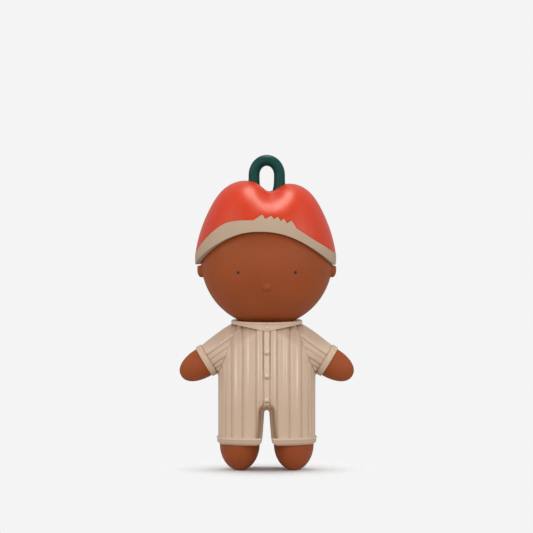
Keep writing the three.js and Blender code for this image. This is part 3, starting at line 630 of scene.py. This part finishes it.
def romper(x, y, z):
    """Ribbed trunk with its shoulder bosses, hems, inseam, placket and buttons, less the seats and holes."""
    y = y - MIDDLE_Y
    r = np.hypot(x, y)
    skin, wall, length = trunk(x, y, z)
    fold = hump(below_top(np.abs(x), z) - SLEEVE_LINES[0][0] + FOLD_ABOVE, FOLD_WIDTH)
    fold = 0.22 * fold * ease((np.abs(x) - 9.4) / 1.2) * ease((-y - 4) / 2)
    low = placket_fade(z)
    shallow = 1 - 0.55 * low * ease((1.9 - np.abs(x)) / 0.4) * (y < 0)
    body = skin + groove_at(x, length) * shallow - fold
    body = smax(body, z - (COLLAR_Z - COLLAR_SAG - 0.5), 0.4)
    body = np.maximum(body, HEM_Z + 0.6 - z)
    for side in (1, -1):
        out, _, off = shoulder_axes(x, y, z, side)
        cone = (off - SHOULDER_RADIUS * (1 + 0.4 * out / (4 * WALL))) * 0.92
        body = smin(body, np.maximum(cone, -out - 4 * WALL), 0.5)
        body = smax(body, out, 0.03)
    bead = HEM_BEAD * hump(z - HEM_Z - HEM_HEIGHT + BEAD_DROP, 0.36)
    hem = wall - HEM_PROUD - bead + 0.75 * ease((HEM_Z + 0.9 - z) / 0.9)
    hem = np.maximum(smax(hem, z - HEM_Z - HEM_HEIGHT, 0.2), HEM_Z - z)
    body = smin(body, hem, 0.12)
    gap = leg_gap(x, z)
    below = inseam_fade(z) * ease((z - HEM_Z - HEM_HEIGHT) / 0.4)
    body = body + 0.7 * below * hump(gap - INSEAM, 0.45)
    body = body + 0.5 * spot(x, 2.3, z - CROTCH_Z - 1.5, 1.4)
    body = smax(body, -gap, 1.7)
    strip = smax(np.abs(x) - PLACKET_WIDTH / 2, skin - PLACKET_PROUD * (1 - PLACKET_SOFTER * low), 0.25)
    strip = smax(strip, COLLAR_Z - COLLAR_SAG - COLLAR_HEIGHT - PLACKET_LENGTH - z, 0.5)
    strip = np.maximum(np.maximum(strip, y), z - COLLAR_Z + COLLAR_SAG + 0.6)
    body = smin(body, strip, 0.08)
    for i in range(BUTTON_COUNT):
        up = z - button_z(i)
        ahead = y + BODY_HALF_DEPTH + belly(button_z(i)) + PLACKET_PROUD - 0.1
        dome = ellipsoid(x, ahead, up, BUTTON_DIAMETER / 2, BUTTON_PROUD + 0.1, BUTTON_DIAMETER / 2)
        below = spot(x, BUTTON_SHADE_WIDTH, up + BUTTON_SHADE_DROP, 0.38) * (y < 0)
        body = smin(body + 0.22 * below, dome, 0.08)
    body = smax(body, -neck_seat(x, y, z), 0.5)
    for side in (1, -1):
        leg = ellipsoid(x - side * LEG_X, y, 0 * z, FOOT_HALF_WIDTH + 0.2, FOOT_HALF_DEPTH + 0.2, 1)
        body = smax(body, -np.maximum(leg, z - HEM_Z - 1.6), 0.3)
        out, _, off = shoulder_axes(x, y, z, side)
        body = smax(body, -np.maximum(off - ARM_SEAT_RADIUS - FIT, -out - ARM_SEAT_DEPTH - FIT), 0.2)
        deep = ARM_SEAT_DEPTH + FIT + WALL
        hole = np.minimum(off - ARM_PEG_RADIUS - FIT, np.maximum(off - ARM_PEG_HEAD - FIT, out + deep))
        body = np.maximum(body, -np.maximum(hole, -out - deep - 2.5))
    peg = np.minimum(r - NECK_PEG_RADIUS - FIT, np.maximum(r - NECK_PEG_HEAD - FIT, z - NECK_SEAT_Z + WALL))
    return np.maximum(body, -np.maximum(peg, NECK_SEAT_Z - WALL - 2.5 - z))


def romper_tone(points):
    """Painted light on the romper: painted shade in its grooves, inseam, hem band and under the buttons;
    painted highlights on rib streaks, placket, hem bead and buttons.
    """
    x, y, z = points[:, 0], points[:, 1] - MIDDLE_Y, points[:, 2]
    skin, wall, length = trunk(x, y, z)
    ribbed = (z > HEM_Z + HEM_HEIGHT) & (np.abs(skin) < 1)
    placket = (np.abs(x) < PLACKET_WIDTH / 2 - 0.1) & (y < 0) & (z > CROTCH_Z + 1)
    # Painted shade in the rib grooves, by their depth, except on the placket
    painted_tone = np.where(ribbed & ~placket, np.maximum(groove_at(x, length), 0) / RIB_DEPTH, 0) * 0.3
    # Painted shade along the inseam beside the gap between the legs
    painted_tone += ribbed * inseam_fade(z) * hump(leg_gap(x, z) - INSEAM + 0.5, 1.2)
    # Painted highlights: lighter streaks down the rib crests on the front, strongest at mid-chest
    for side, places in ((1, STREAKS_TO_LEFT), (-1, STREAKS_TO_RIGHT)):
        for place, share in places:
            middle = OUTER_STREAK_Z if place > OUTER_STREAK else STREAK_Z
            lit = hump(z - middle, STREAK_TALL) * (y < 0) * ribbed
            painted_tone -= share * lit * hump(side * x - place, STREAK_WIDTH)
    # Painted highlight on the placket, fainter on its lower half
    painted_tone -= 0.3 * placket * ribbed * (1 - PLACKET_SOFTER * placket_fade(z))
    # Painted highlight along the hem's bead
    painted_tone -= 0.15 * hump(z - HEM_Z - HEM_HEIGHT + BEAD_DROP, 0.3) * (wall > 0.1)
    # Painted shade on the hem band below its bead
    painted_tone += 0.3 * (z < HEM_Z + HEM_HEIGHT - 0.7)
    front = (y < -BODY_HALF_DEPTH + 1) * 1.0
    # Painted shadow below each button and a painted highlight on each button but the top one
    for i in range(BUTTON_COUNT):
        up = z - button_z(i)
        painted_tone += front * spot(x, BUTTON_SHADE_WIDTH, up + BUTTON_SHADE_DROP, 0.45)
        painted_tone -= front * 0.5 * (i > 0) * spot(x, 0.7, up - 0.2, 0.6)
    return np.clip(painted_tone, -1, 1)


made = nets(romper, (-20, -18.5, HEM_Z), (20, 16, COLLAR_Z), ROMPER_STEP)
piece("romper", made, KNIT, "romper", "torso", "romper_body", painted_tone=romper_tone(made[0]))
made = nets(collar, (-15, -17, 52), (15, 15, COLLAR_Z), COLLAR_STEP)
piece("collar", made, KNIT, "romper", "torso", "romper_body")


# Feet
def foot():
    top = HEM_Z - FIT
    sole = math.asin(top / FOOT_ROUND)
    t = np.linspace(sole, 0, 40)
    arc = [(FOOT_HALF_WIDTH * math.cos(a), top - FOOT_ROUND * math.sin(a)) for a in t]
    r0 = arc[0][0]
    base = [(0.02, 0), (r0 * 0.5, 0), (r0 * 0.85, 0), (r0 * 0.97, 0.03)]
    plug = [(FOOT_HALF_WIDTH - 0.02, top + 0.6), (FOOT_HALF_WIDTH - 0.3, top + 1.5), (0.02, top + 1.5)]
    points, faces = turned(base + arc[1:] + plug, ROUND)
    drop = np.maximum(top - points[:, 2], 0)
    points[:, 1] *= FOOT_HALF_DEPTH * np.sqrt(1 - (drop / FOOT_LONG) ** 2)
    points[:, 1] /= FOOT_HALF_WIDTH * np.sqrt(1 - (drop / FOOT_ROUND) ** 2)
    return points, faces


SIDES = ((1, "left"), (-1, "right"))
for side, name in SIDES:
    place = Matrix.Translation((side * LEG_X, MIDDLE_Y, 0))
    made = foot()
    # Painted shade: the feet are darker all over
    painted_tone = np.full(len(made[0]), FOOT_PAINTED_SHADE)
    piece("foot_skin_" + name, made, SKIN, "skin", "torso", "foot_" + name, place=place, painted_tone=painted_tone)


# Head
def face_frame(out, down):
    """Place and axes on the face: to the doll's left, up and straight out."""
    o, d = math.radians(out), math.radians(down)
    at = np.array(
        [
            HEAD_RADIUS * math.cos(d) * math.sin(o),
            -HEAD_RADIUS * math.cos(d) * math.cos(o),
            -HEAD_HALF_HEIGHT * math.sin(d),
        ]
    )
    ahead = np.array([math.cos(d) * math.sin(o), -math.cos(d) * math.cos(o), -math.sin(d)])
    aside = np.array([math.cos(o), math.sin(o), 0])
    return at, aside, np.cross(ahead, aside), ahead


def head(x, y, z):
    y = y - MIDDLE_Y
    z = z - HEAD_Z
    ball = ellipsoid(x, y, z, HEAD_RADIUS, HEAD_RADIUS, HEAD_HALF_HEIGHT)
    at, aside, up, ahead = face_frame(0, NOSE_DOWN)
    p = [x - at[0], y - at[1], z - at[2]]
    u, v, w = [sum(a * b for a, b in zip(p, axis)) for axis in (aside, up, ahead)]
    nose = ellipsoid(u, v, w, NOSE_WIDTH / 2, NOSE_WIDTH / 2.1, NOSE_PROUD)
    ball = ball + 0.1 * hump(np.hypot(u, v) - NOSE_RING, 0.35) * (w > -4)
    body = smin(ball, nose, 0.35)
    for side in (1, -1):
        ear = ellipsoid(x - side * HEAD_RADIUS, y, z + EAR_DOWN, EAR_PROUD, EAR_DEPTH / 2, EAR_HEIGHT / 2)
        dip = ellipsoid(
            x - side * (HEAD_RADIUS + EAR_PROUD * 1.75), y + EAR_DEPTH / 6, z + EAR_DOWN,
            EAR_PROUD * 0.95, EAR_DEPTH / 3.4, EAR_HEIGHT / 3.6,
        )
        ear = smax(smax(ear, -dip, 0.6), z - RIM_SIDE + FIT, 0.6)
        body = smin(body, ear, 0.7)
    r = np.hypot(x, y)
    inner = HEAD_HALF_HEIGHT - WALL
    room = np.maximum(r - NECK_PEG_HEAD - 0.6, -z - inner + 2.2)
    hole = np.minimum(r - NECK_PEG_RADIUS - FIT, room)
    return np.maximum(body, -np.maximum(hole, z + inner - 5))


reach = HEAD_RADIUS + EAR_PROUD
made = nets(
    head,
    (-reach, -HEAD_RADIUS - 2, HEAD_Z - HEAD_HALF_HEIGHT),
    (reach, HEAD_RADIUS, HEAD_Z + HEAD_HALF_HEIGHT),
    HEAD_STEP,
)
piece("head_skin", made, SKIN, "skin", "head", "head_shell")


def eye():
    t = np.linspace(0, math.pi / 2, 10)
    dome = [(max(0.004, EYE_DIAMETER / 2 * math.cos(a)), EYE_PROUD * math.sin(a)) for a in t]
    return turned([(0.004, -0.6), (EYE_DIAMETER / 2, -0.6)] + dome, 40)


for side, name in SIDES:
    at, aside, up, ahead = face_frame(side * EYE_OUT, EYE_DOWN)
    place = np.eye(4)
    place[:3, :3] = np.stack([aside, up, ahead], 1)
    place[:3, 3] = at + [0, MIDDLE_Y, HEAD_Z]
    piece("eye_dot_" + name, eye(), DARK, "eye", "head", "eye_" + name, place=place)


# Arms
def shoulder_place(side):
    """Shoulder's frame: local Z out along the arm's axis, local X down."""
    out = np.array([side * math.cos(TILT), 0, math.sin(TILT)])
    down = np.array([side * math.sin(TILT), 0, -math.cos(TILT)])
    place = np.eye(4)
    place[:3, :3] = np.stack([down, np.cross(out, down), out], 1)
    place[:3, 3] = [side * SHOULDER_X, MIDDLE_Y, SHOULDER_Z]
    return place


ALONG = np.array([math.sin(BEND), 0, math.cos(BEND)])
WRIST = np.array([SLEEVE_DROP, 0, SLEEVE_OUT])


def sleeve():
    """Sleeve in its shoulder's frame, with painted light at its points: painted shade in its rib lines, a
    painted highlight on its fold.
    """
    n = SLEEVE_ROUND
    t = np.linspace(0, 2 * math.pi, n, endpoint=False)
    thin = CUFF_RADIUS - CUFF_PROUD
    bent = np.array([math.cos(BEND), 0, -math.sin(BEND)])
    start = WRIST - ALONG * CUFF_WIDTH
    ends = [(np.array([k * SHOULDER_RADIUS, 0, SEAM]), start + k * thin * bent) for k in (-1, 1)]
    lines = np.array([line for line, _ in SLEEVE_LINES])

    def dents(points, ribs):
        """Depth of the rib lines, which run parallel to the sleeve's upper edge."""
        x = SHOULDER_X + points[:, 2] * math.cos(TILT) + points[:, 0] * math.sin(TILT)
        z = SHOULDER_Z + points[:, 2] * math.sin(TILT) - points[:, 0] * math.cos(TILT)
        below = below_top(x, z)
        after = np.clip(np.searchsorted(lines, below), 1, len(lines) - 1)
        half = (lines[after] - lines[after - 1]) / 2
        arch = np.clip(np.abs(below - lines[after] + half) / half, 0, 1) ** 3 * (below > lines[0])
        cut = sum(deep * hump(below - line, 0.26) for line, deep in SLEEVE_LINES)
        fold = 0.2 * hump(below - lines[0] + FOLD_ABOVE, FOLD_WIDTH) * ease((7 - points[:, 2]) / 5)
        return ribs * (RIB_DEPTH * (0.4 * arch + 0.6 * cut) - fold)

    def ring(share, radius, ribs, push=0.0):
        """Ring of the sleeve: its top and bottom lie on two lines from the shoulder to the cuff."""
        swell = math.sin(math.pi * share)
        top, bottom = [a + (b - a) * share for a, b in ends]
        limit = SHOULDER_Z + top[2] * math.sin(TILT) - (COLLAR_Z - COLLAR_HEIGHT - FIT)
        top[0] = max(top[0] - SLEEVE_FULLNESS * math.sin(math.pi * share**0.6), limit / math.cos(TILT))
        middle = (top + bottom) / 2 + ALONG * push
        wide = SHOULDER_RADIUS + (thin - SHOULDER_RADIUS) * share + 0.4 * swell
        tall = np.linalg.norm(bottom - top) / 2
        down = (bottom - top) / 2 / tall
        grow = np.full(n, radius - (SHOULDER_RADIUS + (thin - SHOULDER_RADIUS) * share))

        def shaped(grow):
            along = np.cos(t)[:, None] * down * (tall + grow)[:, None]
            return along + np.sin(t)[:, None] * np.array([0, 1, 0]) * (wide + grow)[:, None] + middle

        dent = dents(shaped(grow), ribs)
        rings.append(shaped(grow - dent))
        # Painted light: painted shade in the rib lines and a painted highlight on the fold
        painted_tone.append(dent / RIB_DEPTH * 0.5)

    rings, painted_tone = [], []
    seat = (
        (ARM_PEG_RADIUS + FIT, WALL),
        (ARM_PEG_RADIUS + FIT, -ARM_SEAT_DEPTH),
        (ARM_SEAT_RADIUS - 0.2, -ARM_SEAT_DEPTH),
        (ARM_SEAT_RADIUS, 0.2 - ARM_SEAT_DEPTH),
        (ARM_SEAT_RADIUS, SEAM),
    )
    for radius, out in seat:
        rings.append(np.stack([radius * np.cos(t), radius * np.sin(t), np.full(n, out)], 1))
        painted_tone.append(np.zeros(n))
    ring(0, SHOULDER_RADIUS - 0.06, 0)
    ring(0, SHOULDER_RADIUS - 0.02, 0, 0.03)
    ring(0, SHOULDER_RADIUS, 0, 0.08)
    for s in np.linspace(0.03, 1, 46):
        ring(s, SHOULDER_RADIUS + (thin - SHOULDER_RADIUS) * s, float(ease(s / 0.06)))
    for push, proud in CUFF_PROFILE:
        ring(1, thin + proud, 0, push)
    ring(1, 0.05, 0, 1.0)
    for outer in rings[len(seat):]:
        outer[:, 2] = np.maximum(outer[:, 2], SEAM)
    return loft(rings), np.concatenate(painted_tone + [[0], [0]])


def hand():
    t = np.linspace(0, math.pi / 2, 44)
    dome = [
        (max(0.01, HAND_RADIUS * math.cos(a) ** 0.9), FIT + (HAND_LENGTH - FIT) * math.sin(a)) for a in t
    ]
    return turned([(0.01, -0.9), (HAND_RADIUS - 0.3, -0.9), (HAND_RADIUS - 0.02, -0.5)] + dome, ROUND)


for side, name in SIDES:
    place = shoulder_place(side)
    made, painted_tone = sleeve()
    arm = "arm_" + name
    piece("sleeve_knit_" + name, made, KNIT, "romper", arm, "sleeve_" + name, place=place, painted_tone=painted_tone)
    wrist = np.eye(4)
    wrist[:3, :3] = np.array(Matrix.Rotation(BEND, 3, "Y"))
    wrist[:3, 3] = WRIST
    piece("hand_skin_" + name, hand(), SKIN, "skin", arm, "hand_" + name, place=place @ wrist)


# Cap; CAP_THICK is its thickness over the head at angles up of UP_STEPS, smoothed over some degrees
UP_STEPS = np.linspace(-30, 120, 1501)
SMOOTH_REACH = 120
spread = np.exp(-0.5 * (np.arange(-SMOOTH_REACH, SMOOTH_REACH + 1) / 35) ** 2)
cap_body = np.pad(curve(CAP_BODY, UP_STEPS), SMOOTH_REACH, "edge")
CAP_THICK = np.convolve(cap_body, spread / spread.sum(), "valid")


def head_point(up, grow=0.0):
    a = np.radians(up)
    return (HEAD_RADIUS + grow) * np.cos(a), (HEAD_HALF_HEIGHT + grow) * np.sin(a)


def cap_point(turn, up, inset):
    """Point of the cap's outside, with its crease, at an angle round and an angle up."""
    radius, height = head_point(up)
    reach = np.hypot(radius, height)
    a = np.radians(turn)
    aside = radius * np.sin(a)
    half = CREASE_HALF_WIDTH + CREASE_FLARE * np.maximum(0, CREASE_FLARE_FROM - up) / CREASE_FLARE_SPAN
    across = aside - math.tan(math.radians(CREASE_SKEW)) * radius * np.cos(a) - CREASE_ASIDE
    crease = CREASE_DEPTH * ease((up - CREASE_START) / CREASE_SPAN) * hump(across, half)
    lean = CAP_LEAN * np.sin(a) * ease(radius / HEAD_RADIUS / 0.35)
    grow = (reach + np.interp(up, UP_STEPS, CAP_THICK) - lean - crease - inset) / reach
    return np.stack([aside * grow, -radius * np.cos(a) * grow, height * grow], -1)


def head_skin(turn, up):
    radius, height = head_point(up, FIT)
    a = np.radians(turn)
    return np.stack([radius * np.sin(a), -radius * np.cos(a), height + 0 * a], -1)


def rim_height(turn):
    swing = np.where(np.abs(turn) < 90, np.abs(np.sin(np.radians(turn))), 1)
    return RIM_FRONT - (RIM_FRONT - RIM_SIDE) * swing**RIM_SHARPNESS


def peel_height(turn):
    """Lower edge of the peel: pointed teeth of cream inside the bite, a smooth line outside it."""
    height = np.where(turn < 0, curve(EDGE_BEFORE, turn), curve(EDGE_AFTER, turn))
    for (start, low), (tip, high), (end, low_end) in zip(NOTCHES, TIPS, NOTCHES[1:]):
        share = np.where(turn < tip, (turn - start) / (tip - start), (end - turn) / (end - tip))
        base = np.where(turn < tip, low, low_end)
        tooth = base + (high + TOOTH_SHARP - base) * np.clip(share, 0, 1) ** 0.9
        height = np.where((turn >= start) & (turn < end), tooth, height)
    return height


def up_to(height):
    """Angle up at which the cap's outside reaches a height."""
    up = np.degrees(np.arcsin(height / HEAD_RADIUS))
    for _ in range(8):
        up = np.degrees(np.arcsin(height / (HEAD_RADIUS + np.interp(up, UP_STEPS, CAP_THICK))))
    return up


TURNS = np.concatenate(
    [np.arange(-180, -80, 2), np.arange(-80, -14, 0.8), np.arange(-14, 40, 0.3), np.arange(40, 88, 0.8),
     np.arange(88, 180, 2)]
)
CROWN = 89.6


def rows(low, high, count, power=1.0):
    return [low + (high - low) * s**power for s in np.linspace(0, 1, count)]


def rolled(edge, inner, outer, thick, heights, square=0.5, lift=0.0):
    """Shell between two skins, with a rounded lower edge; the inner skin may end higher."""
    rings = [inner(TURNS, up) for up in rows(edge + lift, CROWN, 40)[::-1]]
    for a in np.linspace(0, math.pi, 13)[1:-1]:
        drop = np.degrees(thick / 2 * math.sin(a) ** square / HEAD_RADIUS)
        share = 0.5 - 0.5 * math.copysign(abs(math.cos(a)) ** (2 * square), math.cos(a))
        low_in, low_out = inner(TURNS, edge + lift - drop), outer(TURNS, edge - drop)
        rings.append(low_in * (1 - share) + low_out * share)
    return rings + [outer(TURNS, up) for up in heights]


cap_place = np.array(Matrix.Rotation(math.radians(CAP_TURN), 4, "Z"))
cap_place[:3, 3] = [0, MIDDLE_Y, HEAD_Z]
peel_edge = up_to(peel_height(TURNS)) + 0.55
rim_edge = up_to(rim_height(TURNS))
rim_edge = rim_edge + 0.7 - 0.066 * np.maximum(rim_edge, 0)


def liner_skin(turn, up):
    """Outside of the cream cap: a little proud below the peel's edge, and under the peel above it."""
    return cap_point(turn, up, (PEEL + 0.24) * ease((up - peel_edge + 1.0) / 0.8) - CREAM_PROUD)


def peel_skin(turn, up):
    return cap_point(turn, up, 0)


def under_peel(turn, up):
    return cap_point(turn, up, PEEL)


heights = rows(rim_edge, peel_edge - 1.2, 16, 1.4) + rows(peel_edge - 1.1, peel_edge + 0.2, 12)
heights += rows(peel_edge + 0.8, CROWN, 24)
liner = loft(rolled(rim_edge, head_skin, liner_skin, 0.4, heights, 0.3, 0.1 * np.maximum(rim_edge, 0)))
piece("cap_cream", liner, CREAM, "cap_cream", "cap", "cap_liner", place=cap_place)
heights = rows(peel_edge, CROWN, 110, 1.15)
peel = loft(rolled(peel_edge, under_peel, peel_skin, PEEL, heights))
piece("cap_red", peel, RED, "cap_red", "cap", "cap_peel", place=cap_place)


def stem_loop():
    crown = cap_point(np.array(90.0), np.array(80.0), 0)[2]
    foot = crown - PEEL - LOOP_SEAT
    half = LOOP_SPAN / 2
    leg = crown + LOOP_LEG
    path = [((half, z), (0, 1)) for z in np.linspace(foot, leg, 14)[:-1]]
    for a in np.linspace(0, math.pi, 49):
        slope = math.hypot(half * math.sin(a), LOOP_RISE * math.cos(a))
        path.append((
            (half * math.cos(a), leg + LOOP_RISE * math.sin(a)),
            (-half * math.sin(a) / slope, LOOP_RISE * math.cos(a) / slope),
        ))
    path += [((-half, z), (0, -1)) for z in np.linspace(leg, foot, 14)[1:]]
    t = np.linspace(0, 2 * math.pi, LOOP_ROUND, endpoint=False)
    rings = []
    for (x, z), (dx, dz) in path:
        side = np.array([dz, 0, -dx])
        wide = LOOP_TUBE / 2 * (1 + LOOP_FLARE * math.exp(-max(0, z - crown + 1.2) / 1.3))
        rings.append(
            np.array([x, 0, z])
            + wide * (np.cos(t)[:, None] * side + np.sin(t)[:, None] * np.array([0, 1, 0]))
        )
    return loft(rings)


piece("stem_loop_green", stem_loop(), GREEN, "stem", "cap", "stem_loop", place=cap_place)

for name in ("neck_peg", "shoulder_peg_left", "shoulder_peg_right"):
    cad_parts[name].data.materials.clear()
    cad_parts[name].data.materials.append(PEG)


# Stage, light and camera, in metres
FLOOR = 0.8
SKY = 0.51
BACK = 0.905
FLOOR_RINGS = (0.05, 0.3, 1.0, 3.0)
FADE_START = 0.01
FADE_END = 0.045


def floor():
    """Round pale floor, fading into the backdrop."""
    n = ROUND
    turns = np.linspace(0, 2 * math.pi, n, endpoint=False)
    rings = [[(r * math.cos(a), r * math.sin(a), 0) for a in turns] for r in FLOOR_RINGS]
    points = np.array(rings).reshape(-1, 3)
    faces = [list(range(n))]
    for k in range(len(FLOOR_RINGS) - 1):
        for i in range(n):
            j = (i + 1) % n
            faces.append([k * n + i, (k + 1) * n + i, (k + 1) * n + j, k * n + j])
    mesh = bpy.data.meshes.new("floor")
    mesh.from_pydata(points.tolist(), [], faces)
    obj = bpy.data.objects.new("floor", mesh)
    bpy.context.scene.collection.objects.link(obj)
    mat = bpy.data.materials.new("floor")
    mat.use_nodes = True
    nodes, links = mat.node_tree.nodes, mat.node_tree.links
    bsdf = nodes["Principled BSDF"]
    bsdf.inputs["Base Color"].default_value = (FLOOR, FLOOR, FLOOR, 1)
    bsdf.inputs["Roughness"].default_value = 1
    bsdf.inputs["Specular IOR Level"].default_value = 0
    clear = nodes.new("ShaderNodeBsdfTransparent")
    mixed = nodes.new("ShaderNodeMixShader")
    place = nodes.new("ShaderNodeTexCoord")
    far = nodes.new("ShaderNodeVectorMath")
    far.operation = "LENGTH"
    fade = nodes.new("ShaderNodeMapRange")
    fade.inputs["From Min"].default_value = FADE_START
    fade.inputs["From Max"].default_value = FADE_END
    links.new(place.outputs["Object"], far.inputs[0])
    links.new(far.outputs["Value"], fade.inputs["Value"])
    links.new(fade.outputs["Result"], mixed.inputs["Fac"])
    links.new(bsdf.outputs["BSDF"], mixed.inputs[1])
    links.new(clear.outputs["BSDF"], mixed.inputs[2])
    links.new(mixed.outputs["Shader"], nodes["Material Output"].inputs["Surface"])
    mesh.materials.append(mat)


floor()

world = bpy.data.worlds.new("studio")
bpy.context.scene.world = world
world.use_nodes = True
nodes, links = world.node_tree.nodes, world.node_tree.links
path = nodes.new("ShaderNodeLightPath")
seen = nodes.new("ShaderNodeMix")
seen.data_type = "RGBA"
seen.inputs[MIX_A].default_value = (SKY, SKY, SKY, 1)
seen.inputs[MIX_B].default_value = (BACK, BACK, BACK, 1)
links.new(path.outputs["Is Camera Ray"], seen.inputs["Factor"])
links.new(seen.outputs[MIX_OUT], nodes["Background"].inputs["Color"])


LAMP_AIM = (0, 0, 0.07)


def lamp(name, place, size, power):
    data = bpy.data.lights.new(name, "AREA")
    data.shape = "DISK"
    data.size = size
    data.energy = power
    obj = bpy.data.objects.new(name, data)
    bpy.context.scene.collection.objects.link(obj)
    obj.location = place
    aim = Vector(LAMP_AIM) - Vector(place)
    obj.rotation_euler = aim.to_track_quat("-Z", "Y").to_euler()


lamp("overhead", (0, 0.1, 0.95), size=0.55, power=6.0)
lamp("front_left", (-0.65, -1.3, 0.3), size=0.9, power=5.2)
lamp("front_right", (0.65, -1.3, 0.3), size=0.9, power=5.2)
lamp("side_left", (-1.2, -0.4, 0.6), size=1.0, power=4.4)
lamp("side_right", (1.2, -0.4, 0.6), size=1.0, power=4.4)

# The camera shows what the photo shows: so many pixels across, at so many millimetres to the pixel
PIXELS = 533
PIXEL = 0.381
WIDE = PIXEL * PIXELS * MM
RISE = math.radians(2.5)
FAR = 2.0
SENSOR = 36
AIM_X, AIM_Z = -0.0001, 0.07753
data = bpy.data.cameras.new("camera")
data.sensor_width = SENSOR
data.lens = SENSOR * FAR / WIDE
data.clip_end = 50
camera = bpy.data.objects.new("camera", data)
bpy.context.scene.collection.objects.link(camera)
camera.location = (AIM_X, MIDDLE_Y * MM - FAR * math.cos(RISE), AIM_Z + FAR * math.sin(RISE))
camera.rotation_euler = (math.pi / 2 - RISE, 0, 0)
bpy.context.scene.camera = camera

bpy.context.scene.view_settings.view_transform = "Standard"
